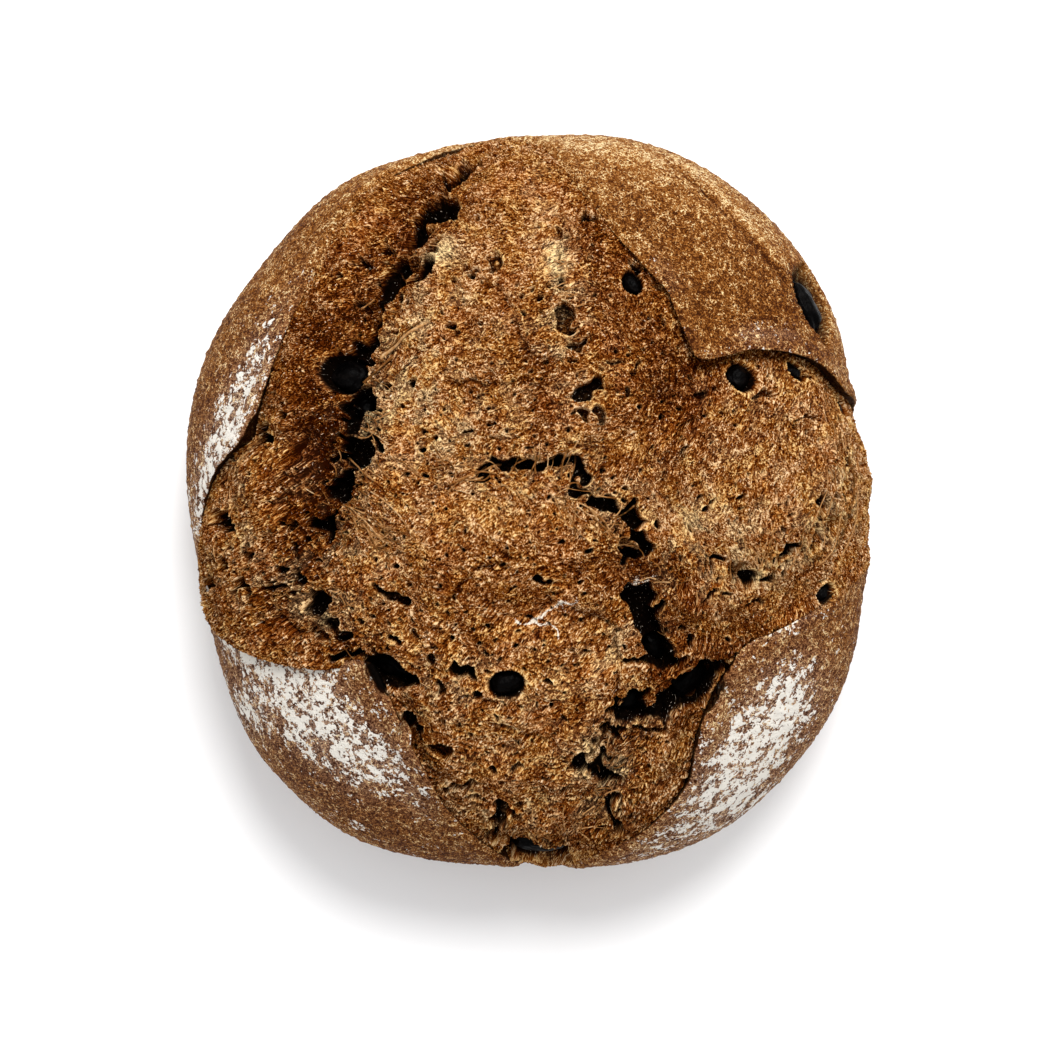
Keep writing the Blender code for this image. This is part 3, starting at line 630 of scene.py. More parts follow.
        (-57, 44, 42, 10, 66, -0.25), (31, 47, 38, 12, 118, -0.2),
    ),
    "seams": (  # pale fibres in a seam: half width, how much paler, route
        (2.6, 0.12, ((2, 86), (7, 74), (9, 62), (9, 47), (17, 32), (19, 24))),
        (4.5, 0.08, ((91, 0), (83, -7), (74, -16), (58, -21), (52, -27))),
    ),
}


def patches(plan, rows):  # rows of place, half length, half width, turn and amount
    return sum(amount * np.exp(-ellipseShare(plan, *place) ** 2) for *place, amount in rows)


def deselect():
    if bpy.context.mode != "OBJECT":
        bpy.ops.object.mode_set(mode="OBJECT")
    bpy.ops.object.select_all(action="DESELECT")


def coordinates(mesh):
    values = np.empty(len(mesh.vertices) * 3, np.float32)
    mesh.vertices.foreach_get("co", values)
    return values.reshape(-1, 3).astype(float)


def reshape(mesh, points):
    mesh.vertices.foreach_set("co", np.ascontiguousarray(points, np.float32).ravel())
    mesh.update()


def choose(mesh, chosen):  # selects these vertices alone
    mesh.polygons.foreach_set("select", np.zeros(len(mesh.polygons), bool))
    mesh.edges.foreach_set("select", np.zeros(len(mesh.edges), bool))
    mesh.vertices.foreach_set("select", chosen)


def placed(points):
    return (points + (*loaf["shift"], 0.0)) * mm


def paint(mesh, name, values):
    made = mesh.attributes.get(name) or mesh.attributes.new(name, "FLOAT", "POINT")
    made.data.foreach_set("value", np.ascontiguousarray(values, np.float32))


def paintPlace(mesh, places):  # the place of each point on the unrolled surface
    made = mesh.attributes.new("around", "FLOAT_VECTOR", "POINT")
    made.data.foreach_set("vector", np.ascontiguousarray(places * mm, np.float32).ravel())


def finished(piece, material, slot, *nodes):
    piece.data.materials.clear()
    piece.data.materials.append(material)
    piece.data.shade_smooth()
    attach(piece, "root")
    if nodes:
        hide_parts(*nodes)
    return piece


def nearness(points, halfWidth, route):  # 1 on a route over the dome, falling off to its sides
    away, _ = lineDistance(points, onDome(smoothRoute(route, tear["routeSteps"])), 3 * halfWidth)
    return np.exp(-((away / halfWidth) ** 2))


def alongRoutes(points, rows, column=1):  # rows of half width, one or two amounts, and the route
    return sum(row[column] * nearness(points, row[0], row[-1]) for row in rows)


def rimOf(start, field, share=1.0):  # the raised rim round holes that open where the field passes the start
    begins, whole, ends = crumbLook["rimLevels"]
    return share * ease(start - begins, start - whole, field) * (1 - ease(start, start + ends, field))


def crumbHoles(plan, warped, flat, depth):  # the holes' depth, their rims, and the coarsest of their patterns
    look = crumbLook
    opening = patches(plan, look["openness"])
    deep = np.full(len(flat), look["deep"])
    for halfWidth, wider, deeper, route in look["gashes"]:
        near = nearness(warped, halfWidth, route)
        opening = np.maximum(opening, opening * (1 - near) + wider * near)
        deep += near * (deeper - look["deep"])
    opening -= look["edgeCloses"] * (1 - ease(*look["edgeCalm"], depth))
    calm = np.ones(len(flat))
    wide = look["hollowSize"]
    for x, y, halfLength, halfWidth, turn, deeper in look["hollows"]:
        reach = 3 * max(halfLength, halfWidth)
        near = np.nonzero(np.hypot(warped[:, 0] - x, warped[:, 1] - y) < reach)[0]
        share = ellipseShare(warped[near], x, y, halfLength * wide, halfWidth * wide, turn)
        core = look["hollowCore"] * np.exp(-look["hollowFall"] * share**2)
        opening[near] = np.maximum(opening[near], core)
        deep[near] += (1 - ease(*look["hollowEdge"], share)) * (deeper - deep[near])
        calm[near] = np.minimum(calm[near], 1 - look["calm"] * (1 - ease(*look["calmEdge"], share)))
    holes = [sampled(drawn, flat) for drawn in cavities]
    field = opening + calm * sum(share * drawn for share, drawn in zip(look["mix"], holes))
    pit = deep * ease(look["opens"], look["opens"] + look["soft"], field)
    rim = rimOf(look["opens"], field)
    coarser, finer, start, soft, deeper = look["webHoles"]
    torn = patches(plan, look["webbed"]) + calm * (coarser * holes[2] + finer * holes[3])
    pit = np.maximum(pit, deeper * ease(start, start + soft, torn))
    rim = np.maximum(rim, rimOf(start, torn, look["webRim"]))
    loose = ease(*look["looseWhere"], patches(plan, look["openness"]))
    for drawn, (start, soft, deeper) in zip(holes[2:], look["pinholes"]):
        pit = np.maximum(pit, loose * deeper * ease(start, start + soft, drawn))
        rim = np.maximum(rim, rimOf(start, drawn, loose * look["pinholeRim"]))
    return pit, rim, holes[0]


crumb = {
    "quarters": {"crumbNorth": 45.0, "crumbWest": 135.0, "crumbSouth": 225.0, "crumbEast": 315.0},
    "reach": 122.0,
    "spacing": 0.31,
    "underLip": 3.4,  # how far the crumb runs on under the crust
    "tuck": (0.4, 1.4),  # where it dips under the crust, and how much further out where the lip is low
    "tuckDepth": 6.0,
    "slant": 0.62,  # how far the markings shift for each step of height, so that steep walls have them too
    "bottom": 20.0,  # how far its hidden underside lies below the dome
    "drawnIn": 0.03,  # how much narrower the underside is than the top
    "painted": (
        "tone", "pit", "fibre", "rim", "web", "waveA", "waveB", "crease", "film", "dust", "lieX", "lieY",
    ),
}


def crumbForm(flat):  # the torn crumb at places of the flat map
    angle, polar = fromFlat(flat)
    points = domePoint(angle, polar)
    out = outwards(angle, polar)
    height, hollow, depth = relief(angle, polar, 1, crumbLook["broad"])
    low = ease(*loaf["fade"], points[:, 2])
    plan = points[:, :2]
    warped = points.copy()
    for acrossX, acrossY, far in warps:
        warped[:, 0] += far * sampled(acrossX, flat)
        warped[:, 1] += far * sampled(acrossY, flat)
    pit, rim, coarsest = crumbHoles(plan, warped, flat, depth)
    waves = [sampled(drawn, flat) for drawn in worms]
    lines = [1 - ease(0, wide, np.abs(wave)) for wide, wave in zip(crumbLook["lineWidths"], waves)]
    blobs = sum(share * wave for (_, _, share), wave in zip(pattern["worms"], waves))
    raised = crumbLook["blobs"] * blobs + sum(up * line for up, line in zip(crumbLook["lineHeights"], lines))
    creased = alongRoutes(warped, crumbLook["creases"])
    height = height + low * (raised + crumbLook["rimHeight"] * rim - pit - creased)
    starts, further = crumb["tuck"]
    tuck = starts + further * lowLip(aroundTear(edgeRows[:, 2], angle))
    height = height - ease(tuck, crumb["underLip"], -depth) * crumb["tuckDepth"]
    surface = points + out * height[:, None]
    dents, rims = oliveDents(surface)
    surface = surface - out * dents[:, None]
    # painted shade: the crumb is darker the deeper the crevice it lies in
    tone = patches(plan, crumbLook["tones"]) - crumbLook["valleyShade"] * hollow
    tone += alongRoutes(warped, crumbLook["seams"])
    # painted shade along the folds
    tone -= alongRoutes(warped, crumbLook["creases"], 2)
    blackPit, blackDent = crumbLook["blackAt"]
    return {
        "points": surface,
        "out": out,
        "height": height,
        "tone": tone,
        # pit is painted shade: how dark a hole or an olive's hollow is painted
        "pit": np.clip(pit / blackPit, 0, 1) + np.clip(dents / blackDent, 0, 1),
        "fibre": blobs * (1 + patches(plan, crumbLook["lively"])),
        "rim": np.maximum(rim, rims),
        "web": np.clip(patches(plan, crumbLook["webs"]), 0, 1),
        "waveA": waves[0],
        "waveB": waves[1],
        "crease": coarsest,
        "film": np.clip(patches(plan, crumbLook["films"]), 0, 1),
        "dust": alongRoutes(warped, crumbLook["dusting"]),
        "lieX": sampled(grainX * grainX - grainY * grainY, flat),
        "lieY": sampled(2 * grainX * grainY, flat),
    }


def crumbQuarter(name, start, material):
    deselect()
    rows = round(crumb["reach"] / crumb["spacing"])
    bpy.ops.mesh.primitive_grid_add(x_subdivisions=rows, y_subdivisions=rows, size=crumb["reach"] * mm)
    piece = bpy.context.object
    piece.name = piece.data.name = name
    turn = math.radians(start)
    corner = coordinates(piece.data)[:, :2] / mm + crumb["reach"] / 2
    x = corner[:, 0] * math.cos(turn) - corner[:, 1] * math.sin(turn)
    y = corner[:, 0] * math.sin(turn) + corner[:, 1] * math.cos(turn)
    flat = np.stack([x, y], axis=1)
    beyond = np.hypot(x, y) > edgeReach(flat) + crumb["underLip"]
    choose(piece.data, beyond)
    bpy.ops.object.mode_set(mode="EDIT")
    bpy.ops.mesh.delete(type="VERT")
    bpy.ops.object.mode_set(mode="OBJECT")
    form = crumbForm(flat[~beyond])
    reshape(piece.data, placed(form["points"]))
    for look in crumb["painted"]:
        paint(piece.data, look, form[look])
    shifted = flat[~beyond] + crumb["slant"] * form["height"][:, None]
    paintPlace(piece.data, np.append(shifted, np.zeros((len(shifted), 1)), axis=1))
    piece.data.uv_layers[0].name = "OFBake"
    closeBelow(piece, form)
    return finished(piece, material, "crust", "loaf")


def closeBelow(piece, form):  # walls down from the rim, and a floor drawn together under the middle
    top = len(piece.data.vertices)
    under = placed(form["points"] - form["out"] * crumb["bottom"])
    bpy.ops.object.mode_set(mode="EDIT")
    bpy.ops.mesh.select_all(action="DESELECT")
    bpy.ops.mesh.select_non_manifold()
    bpy.ops.object.mode_set(mode="OBJECT")
    rim = np.zeros(top, bool)
    piece.data.vertices.foreach_get("select", rim)
    places = {tuple(place): k for k, place in zip(np.nonzero(rim)[0], coordinates(piece.data)[rim])}
    bpy.ops.object.mode_set(mode="EDIT")
    bpy.ops.mesh.extrude_region_move()
    bpy.ops.object.mode_set(mode="OBJECT")
    points = coordinates(piece.data)
    source = [places[tuple(place)] for place in points[top:]]
    points[top:] = under[source] * (1 - crumb["drawnIn"]) + under[source].mean(0) * crumb["drawnIn"]
    reshape(piece.data, points)
    bpy.ops.object.mode_set(mode="EDIT")
    bpy.ops.mesh.extrude_region_move()
    bpy.ops.mesh.merge(type="CENTER")
    bpy.ops.mesh.select_all(action="SELECT")
    bpy.ops.mesh.normals_make_consistent(inside=False)
    bpy.ops.object.mode_set(mode="OBJECT")


crust = {
    "columns": 960,
    "outerRows": 68,
    "bottomRows": 6,
    "innerRows": 4,
    "innerDepth": 18.0,
    "outerStart": 0.5,
    "outerSpread": (0.35, 0.65, 1.35),  # the rows lie closer near the lip: even share, curved share, power
    # the torn wall under the lip: distance outwards from the edge, height, and how much of the lip's height
    "wall": ((3.4, -13.0, 0.0), (2.6, -6.0, 0.0), (1.5, -2.6, 0.5), (0.4, -1.3, 0.9)),
    "rimRows": ((-0.25, -0.75, 1.0), (-0.42, -0.35, 1.0), (-0.3, -0.05, 1.0), (0.1, 0.08, 1.0)),
    "blisters": ((5.0, 0.10), (2.2, 0.07), (1.1, 0.045)),  # size and height
    "aroundRadius": 62.0,  # less than the loaf's radius, so that its markings are drawn out round the rim
    "merge": 1.3,  # how far the crust slips under the crumb where its lip is low
    "mergeWidth": 3.5,
    "curl": 0.45,  # how far the lip leans over the crumb, as a share of its height
    # place, half length, half width, turn, depth
    "hollows": (
        (82, 57, 11.0, 4.5, 112, 6.0), (80, 66, 2.4, 1.4, 100, 3.0), (85, 46, 2.0, 1.2, 110, 3.0),
        (4, -104.5, 8.5, 2.0, 3, 3.0),
    ),
    "hollowEdge": (0.75, 1.1),
    "hollowsAbove": (1.5, 1.8),  # the angles from the crown between which the hollows end
    # the depth at which the crust's hollows are painted black, as painted shade
    "blackAt": 4.0,
    # half width, depth, how much paler, route; a negative amount is painted shade in the groove
    "lines": (
        (0.9, 0.7, -0.40, ((40, 97), (48, 90), (56, 82), (63, 74), (70, 66), (74, 62))),
        (1.6, -0.3, 0.22, ((42, 99), (50, 92), (58, 84), (66, 75), (73, 67))),
        (1.0, 0.5, -0.25, ((39, 57), (42, 50), (45, 42))),
        (0.8, 0.4, -0.20, ((-52, 72), (-60, 66), (-68, 57), (-75, 46))),
    ),
    "tatter": ((9.0, 0.9), (3.2, 0.5), (1.3, 0.25)),  # size and depth of the edge's unevenness
    "tatterRadius": 80,
    "tatterShare": (0.35, 0.3),  # how much of it shows, and how much more for each step of the lip's height
    # place, half length, half width, turn, how densely the flour lies
    "flour": (
        (-60, -58, 20, 7.5, -47, 0.85), (-68, -48, 14, 6, -36, 0.65), (-80, -42, 13, 4.5, -34, 0.7),
        (-90, -28, 9, 3, -66, 0.7), (-81, -58, 13, 6, -62, 0.4), (-76, -60, 7, 6, 0, 0.45),
        (-63, -68, 9, 5, -55, 0.42), (-42, -72, 9, 6, -50, 0.5), (-50, -77, 8, 5, -50, 0.35),
        (-33, -83, 10, 4, -60, 0.36), (-87, -30, 10, 4, -65, 0.6), (-58, -64, 36, 22, -45, 0.24),
        (64, -71, 21, 9, 68, 0.85), (52, -84, 13, 9, 40, 0.55), (76, -56, 12, 8, 65, 0.45),
        (40, -98, 18, 5, 25, 0.45), (66, -72, 30, 18, 60, 0.30), (-78, 35, 15, 6, 64, 0.6),
        (-84, 22, 11, 5, 68, 0.75), (-89, 8, 12, 5, 76, 0.6), (-94, 2, 18, 3, 84, 0.35),
        (-96, -18, 16, 3, 92, 0.3), (-70, 54, 14, 4, 60, 0.14), (63, 46, 5, 2.4, 0, 0.36),
        (72, 46, 4, 2.0, 0, 0.3), (70, -36, 10, 2.0, 18, 0.4), (38, 62, 6, 3, 120, 0.14),
    ),
    "edgeDust": (
        (60, -66, 34, 24, 60, 1.0), (-58, -56, 34, 22, -45, 1.0), (-86, 14, 40, 14, 75, 0.8),
        (68, 44, 22, 10, 0, 0.5),
    ),
    "edgeDustWidth": 2.2,
    "edgeDustShare": 0.30,
    # place, half length, half width, turn, how much paler; the pale rows along the north rim are partly
    # painted highlight where it faces the lamp, and the darker rows to the south and west partly painted
    # shade
    "tones": (
        (40, 90, 30, 9, -28, 0.16), (0, 104, 22, 6, -3, 0.18), (-34, 98, 24, 4, 18, 0.20),
        (30, 100, 26, 4.5, -12, 0.24), (62, 83, 22, 4, -42, 0.18), (85, 58, 16, 3, -62, 0.16),
        (64, 62, 30, 20, 130, -0.07), (62, 50, 24, 8, 10, -0.05), (38, 72, 20, 8, 125, -0.05),
        (-44, 84, 26, 7, 48, 0.03), (-84, 30, 30, 10, 68, -0.06), (-60, -66, 34, 18, -45, -0.08),
        (-30, -96, 26, 8, -25, -0.08), (70, -70, 30, 18, 55, 0.02), (96, 40, 20, 6, 105, 0.08),
        (96, -44, 12, 8, 60, -0.02),
    ),
}


def lipAround(columns):  # the tear's ragged edge and the height of its lip, all the way round
    angle = np.arange(columns) / columns * 2 * math.pi - math.pi
    circle = np.stack([np.cos(angle), np.sin(angle), np.zeros(columns)], axis=1) * crust["tatterRadius"]
    lip = aroundTear(edgeRows[:, 2], angle)
    torn = sum(deep * lumps(circle, size, 5 * size) for size, deep in crust["tatter"])
    least, more = crust["tatterShare"]
    return aroundTear(edgeArc, angle) + torn * (least + more * lip), lip


def crustMesh(material):
    deselect()
    columns = crust["columns"]
    inner = crust["innerRows"]
    last = inner + len(crust["wall"]) + len(crust["rimRows"])
    rings = last + crust["outerRows"] + crust["bottomRows"]
    bpy.ops.mesh.primitive_uv_sphere_add(segments=columns, ring_count=rings, radius=1)
    piece = bpy.context.object
    piece.name = piece.data.name = "crust"
    ball = coordinates(piece.data)
    ring = np.rint(np.arccos(np.clip(ball[:, 2], -1, 1)) / math.pi * rings).astype(int)
    angle = np.arctan2(ball[:, 1], ball[:, 0])
    column = np.rint((angle + math.pi) / (2 * math.pi) * columns).astype(int) % columns
    edge, lip = (values[column] for values in lipAround(columns))
    arc = np.zeros(len(ball))
    offset = np.zeros(len(ball))
    under = ring <= inner  # the rows under the crumb, which don't show
    onFace = ~under
    arc[under] = (edge[under] + crust["wall"][0][0]) * ring[under] / (inner + 1)
    for row, (away, up, share) in enumerate(crust["wall"] + crust["rimRows"], start=inner + 1):
        here = ring == row
        merging = lowLip(lip[here])
        arc[here] = edge[here] + away - crust["curl"] * lip[here] * share**3 * (1 - merging)
        offset[here] = up - crust["merge"] * merging
    outer = (ring > last) & (ring <= last + crust["outerRows"])
    share = (ring[outer] - last) / crust["outerRows"]
    even, curved, power = crust["outerSpread"]
    share = even * share + curved * share**power
    start = crust["outerStart"]
    arc[outer] = edge[outer] + start + (profileArc[-1] - edge[outer] - start) * share
    polar = np.interp(arc, profileArc, profilePolar)
    bottom = ring > last + crust["outerRows"]
    below = (ring[bottom] - last - crust["outerRows"]) / crust["bottomRows"]
    polar[bottom] = profilePolar[-1] + (math.pi - profilePolar[-1]) * below
    points = domePoint(angle, polar)
    out = outwards(angle, np.minimum(polar, math.pi - 0.05))
    face, _, depth = relief(angle[onFace], polar[onFace], torn=0)
    fade = ease(*loaf["fade"], points[:, 2])
    flat = toFlat(angle, polar)
    blisters = sum(
        rise * sampled(mixedWaves(size, "blisters", number), flat)
        for number, (size, rise) in enumerate(crust["blisters"])
    )
    nearLip = 1 - ease(0.0, crust["mergeWidth"], np.clip(arc[outer] - edge[outer], 0, None))
    offset[outer] -= crust["merge"] * lowLip(lip[outer]) * nearLip
    height = np.full(len(ball), -crust["innerDepth"])
    height[onFace] = face + ((offset + blisters) * fade)[onFace]
    surface = points + out * height[:, None]
    plan = points[:, :2]
    dents, _ = oliveDents(surface)
    upper = 1 - ease(*crust["hollowsAbove"], polar)
    for *place, deep in crust["hollows"]:
        dents = np.maximum(dents, deep * upper * (1 - ease(*crust["hollowEdge"], ellipseShare(plan, *place))))
    outside = ring > last - 2  # all but the torn wall and what lies under the crumb
    sunk = dents + alongRoutes(points, crust["lines"])
    surface = surface - out * np.where(outside, sunk, 0)[:, None]
    reshape(piece.data, placed(surface))
    edgeDust = np.zeros(len(ball))
    edgeDust[onFace] = crust["edgeDustShare"] * np.exp(-((depth / crust["edgeDustWidth"]) ** 2))
    flour = patches(plan, crust["flour"]) + edgeDust * patches(plan, crust["edgeDust"])
    paint(piece.data, "flour", flour * outside)
    # the darker grooves along the crust's lines are painted shade
    paint(piece.data, "tone", patches(plan, crust["tones"]) + alongRoutes(points, crust["lines"], 2))
    # marks the torn wall under the lip, which is painted dark: partly the crumb's own brown, mostly painted
    # shade
    paint(piece.data, "torn", 1.0 - outside)
    # painted shade in the olives' hollows
    paint(piece.data, "pit", np.clip(dents / crust["blackAt"], 0, 1))
    slender = crust["aroundRadius"]
    around = np.stack([slender * np.cos(angle), slender * np.sin(angle), flatArc(polar)], axis=1)
    paintPlace(piece.data, around)
    piece.data.uv_layers[0].name = "OFBake"
    return finished(piece, material, "crust", "loaf")


class Wire:  # a socket's value, for sums
    def __init__(self, finish, socket):
        self.finish, self.socket = finish, socket

    def sum(self, operation, first, second):
        return self.finish.node("ShaderNodeMath", {"operation": operation}, {0: first, 1: second})

    def __add__(self, other):
        return self.sum("ADD", self, other)

    __radd__ = __add__

    def __mul__(self, other):
        return self.sum("MULTIPLY", self, other)

    __rmul__ = __mul__

    def __sub__(self, other):
        return self.sum("SUBTRACT", self, other)

    def __rsub__(self, other):
        return self.sum("SUBTRACT", other, self)

    def __abs__(self):
        return self.finish.node("ShaderNodeMath", {"operation": "ABSOLUTE"}, {0: self})


class Finish:
    def __init__(self, name, **fixed):
        self.material = bpy.data.materials.new(name)
        self.material.use_nodes = True
        self.tree = self.material.node_tree
        self.shader = self.tree.nodes["Principled BSDF"]
        for socket, value in fixed.items():
            self.shader.inputs[socket.replace("_", " ")].default_value = value
        self.place = self.node("ShaderNodeTexCoord", out="Object")
        self.dimensions = "3D"

    def node(self, kind, settings=None, inputs=None, out=0):
        made = self.tree.nodes.new(kind)
        for key, value in (settings or {}).items():
            if key == "stops":
                self.stops(made.color_ramp, value)
            else:
                setattr(made, key, value)
        for key, value in (inputs or {}).items():
            self.feed(made.inputs[key], value)
        return Wire(self, made.outputs[out])

    def stops(self, ramp, stops):
        while len(ramp.elements) < len(stops):
            ramp.elements.new(0.5)
        for element, (place, colour) in zip(ramp.elements, stops):
            element.position = place
            element.color = (*colour, 1)

    def feed(self, socket, value):
        if isinstance(value, Wire):
            self.tree.links.new(value.socket, socket)
        elif isinstance(value, tuple) and len(value) == 3 and socket.type == "RGBA":
            socket.default_value = (*value, 1)
        else:
            socket.default_value = value

    def set(self, **inputs):
        for socket, value in inputs.items():
            self.feed(self.shader.inputs[socket.replace("_", " ")], value)

    def held(self, name):  # a value painted on the mesh
        return self.node("ShaderNodeAttribute", {"attribute_name": name}, out="Fac")

    def ease(self, value, low, high):
        smooth = {"interpolation_type": "SMOOTHSTEP"}
        return self.node("ShaderNodeMapRange", smooth, {0: value, 1: low, 2: high})

    def clamp(self, value):
        return self.node("ShaderNodeClamp", None, {0: value})

    def noise(self, scale, detail=2.0, rough=0.5, distortion=0.0, stretch=None, turn=0.0, place=None):
        place = place or self.place
        if stretch:
            place = self.drawnOut(place, stretch, turn)
        inputs = {"Vector": place, "Scale": scale, "Detail": detail, "Roughness": rough}
        inputs["Distortion"] = distortion
        return self.node("ShaderNodeTexNoise", {"noise_dimensions": self.dimensions}, inputs)

    def drawnOut(self, place, longer, turn):  # longer along one way of lying
        inputs = {"Vector": place, "Rotation": (0, 0, math.radians(turn)), "Scale": (longer, 1, 1)}
        return self.node("ShaderNodeMapping", {"vector_type": "TEXTURE"}, inputs)

    def vector(self, operation, *values):
        return self.node("ShaderNodeVectorMath", {"operation": operation}, dict(enumerate(values)))

    def wavy(self, place, scale, amount):  # the same place, pushed about a little
        drawn = {"noise_dimensions": self.dimensions}
        inputs = {"Vector": place, "Scale": scale, "Detail": 1.0}
        push = self.node("ShaderNodeTexNoise", drawn, inputs, out="Color")
        return self.vector("MULTIPLY_ADD", push, (amount, amount, amount), place)

    def cells(self, place, scale, feature="F1", out="Color"):
        drawn = {"feature": feature, "voronoi_dimensions": self.dimensions}
        return self.node("ShaderNodeTexVoronoi", drawn, {"Vector": place, "Scale": scale}, out=out)

    def red(self, value):
        return self.node("ShaderNodeSeparateColor", None, {0: value})

    def mixed(self, share, first, second, blend="MIX"):
        inputs = {0: share, 6: first, 7: second}
        return self.node("ShaderNodeMix", {"data_type": "RGBA", "blend_type": blend}, inputs, out=2)

    def ramp(self, value, stops):
        return self.node("ShaderNodeValToRGB", {"stops": stops}, {0: value})

    def bump(self, height, distance, strength):
        inputs = {"Height": height, "Distance": distance, "Strength": strength}
        return self.node("ShaderNodeBump", None, inputs)


studio = {
    "sky": 0.86,
    "lamp": 26.0,
    "lampSize": 0.8,
    "lampPlace": (0.18, 0.80, 1.3),
    "lampColour": (1.0, 0.985, 0.96),
    "lampAim": (0, 0, 0.04),
    "brightness": 1.32,  # how much brighter than its own colour a level surface looks under this light
    "paper": (0.955, 0.96, 0.975),
    "paperSize": 6,
}


def colour(*screen):  # from the red, green and blue that show under the studio's light, 0 to 255
    straight = [x / 255 / 12.92 if x <= 10 else ((x / 255 + 0.055) / 1.055) ** 2.4 for x in screen]
    return tuple(value / studio["brightness"] for value in straight)


crumbColours = {
    "tones": (
        (0.0, colour(36, 10, 1)), (0.14, colour(70, 27, 5)), (0.3, colour(99, 46, 10)),
        (0.46, colour(122, 67, 24)), (0.62, colour(150, 94, 44)), (0.78, colour(181, 125, 71)),
        (0.9, colour(213, 159, 102)), (1.0, colour(241, 205, 160)),
    ),
    # painted shade deep in holes and hollows
    "pit": colour(9, 5, 3),
    "dust": colour(236, 224, 206),
    # what the tones are multiplied by in places
    "olive": (1.0, 0.95, 0.62),
    "rust": (0.97, 0.84, 0.72),
    "khaki": (1.2, 0.95, 0.50),
}


crumbShade = {  # how much each drawing counts in the crumb's light and dark, and each tint in its colour
    "broadLine": 0.09,
    "thinLine": 0.14,
    "knots": 0.26,
    "net": 0.50,
    "netInWebs": 0.08,
    "narrowNet": 0.34,
    "fibre": 0.055,
    "worms": 1.2,
    "fine": 1.5,
    "lower": 0.06,
    "light": 1.1,
    "patchy": 0.5,
    "spots": 0.2,
    # painted highlight on the rims of holes and hollows
    "rim": 0.34,
    "middle": 0.35,
    "crease": 0.13,
    # painted shade in the holes
    "pit": 0.42,
    "olive": 0.75,
    "rust": 0.8,
    "khaki": 0.9,
    # painted shade: black at the bottom of the holes
    "black": 0.96,
    "bump": (0.0003, 0.5),  # distance in metres, and strength
}


def alongGrain(finish, drawing):  # a drawing laid the four ways, blended by how the crumb's fibres lie
    lieX, lieY = finish.held("lieX"), finish.held("lieY")
    total = 0.0
    for turn in (0, 45, 90, 135):
        way = math.radians(2 * turn)
        share = lieX * math.cos(way) + lieY * math.sin(way)
        share = finish.node("ShaderNodeMath", {"operation": "MAXIMUM"}, {0: share, 1: 0.0})
        total = total + share * share * drawing(turn)
    return total


def netLines(finish, place, scale, thin):  # the borders of small cells
    return 1 - finish.ease(finish.cells(place, scale, "DISTANCE_TO_EDGE", "Distance"), 0.01, thin)


def crumbFinish():
    finish = Finish("tornCrumb", Roughness=0.9, Specular_IOR_Level=0.0)
    finish.place = finish.node("ShaderNodeAttribute", {"attribute_name": "around"}, out="Vector")
    finish.dimensions = "2D"
    shade = crumbShade
    patchy = finish.noise(90, 3.0, 0.6) - 0.5
    spots = finish.noise(260, 2.0, 0.6) - 0.5
    worms = alongGrain(finish, lambda turn: finish.noise(1250, 1.5, 0.6, 0.3, 2.2, turn) - 0.5)
    fine = finish.noise(2100, 1.5, 0.6) - 0.5
    curls = finish.wavy(finish.wavy(finish.place, 300, 0.004), 1100, 0.0014)
    twisted = finish.wavy(finish.wavy(finish.place, 200, 0.006), 700, 0.0026)
    wide = alongGrain(finish, lambda turn: netLines(finish, finish.drawnOut(twisted, 2.2, turn), 480, 0.07))
    narrow = netLines(finish, curls, 800, 0.10)
    knots = 1 - finish.ease(abs(finish.noise(500, 2.0, 0.5, 0.9) - 0.5), 0.0, 0.024)
    broadLine = 1 - finish.ease(abs(finish.held("waveA")), 0.05, 0.30)
    thinLine = 1 - finish.ease(abs(finish.held("waveB")), 0.05, 0.40)
    crease = 1 - finish.ease(abs(finish.held("crease")), 0.02, 0.13)
    fibre = finish.held("fibre")
    pit = finish.held("pit")
    web = finish.held("web")
    strong = finish.ease(spots + web * 0.08, -0.12, 0.14)
    lines = broadLine * shade["broadLine"] + thinLine * shade["thinLine"] + knots * shade["knots"]
    lines = lines + wide * (shade["net"] + web * shade["netInWebs"]) + narrow * shade["narrowNet"]
    light = lines * (0.7 + strong * 0.4) + fibre * shade["fibre"]
    light = light + worms * shade["worms"] + fine * shade["fine"] - shade["lower"]
    tone = light * shade["light"] + finish.held("tone") + patchy * shade["patchy"] + spots * shade["spots"]
    # painted highlight: the raised rims round holes and hollows are painted paler
    tone = tone + finish.held("rim") * shade["rim"] + shade["middle"]
    # the holes are darkened with painted shade
    tone = tone - crease * shade["crease"] - finish.ease(pit, 0.0, 0.9) * shade["pit"]
    base = finish.ramp(finish.clamp(tone), crumbColours["tones"])
    tint = finish.ease(finish.noise(120, 2.0, 0.5), 0.42, 0.6)
    base = finish.mixed(tint * shade["olive"], base, crumbColours["olive"], "MULTIPLY")
    elsewhere = finish.vector("ADD", finish.place, (0.4, 0.0, 0.0))
    rust = finish.ease(finish.noise(70, 2.0, 0.5, place=elsewhere), 0.5, 0.66)
    base = finish.mixed(rust * shade["rust"], base, crumbColours["rust"], "MULTIPLY")
    grey = finish.ease(finish.noise(150, 2.0, 0.6, place=elsewhere), 0.5, 0.6) * finish.clamp(web + pit) * 0.5
    grey = finish.clamp(grey + finish.held("film"))
    faded = finish.node("ShaderNodeHueSaturation", None, {"Color": base, "Saturation": 0.2, "Value": 1.0})
    faded = finish.mixed(1.0, faded, crumbColours["khaki"], "MULTIPLY")
    base = finish.mixed(grey * shade["khaki"], base, faded)
    # painted shade: the deepest holes and hollows turn black
    base = finish.mixed(finish.ease(pit, 0.36, 0.86) * shade["black"], base, crumbColours["pit"])
    dusted = finish.ease(finish.held("dust") + fine * 1.6 + worms, 0.40, 0.62)
    base = finish.mixed(dusted, base, crumbColours["dust"])
    finish.set(Base_Color=base)
    finish.set(Normal=finish.bump(light, *shade["bump"]))
    return finish.material


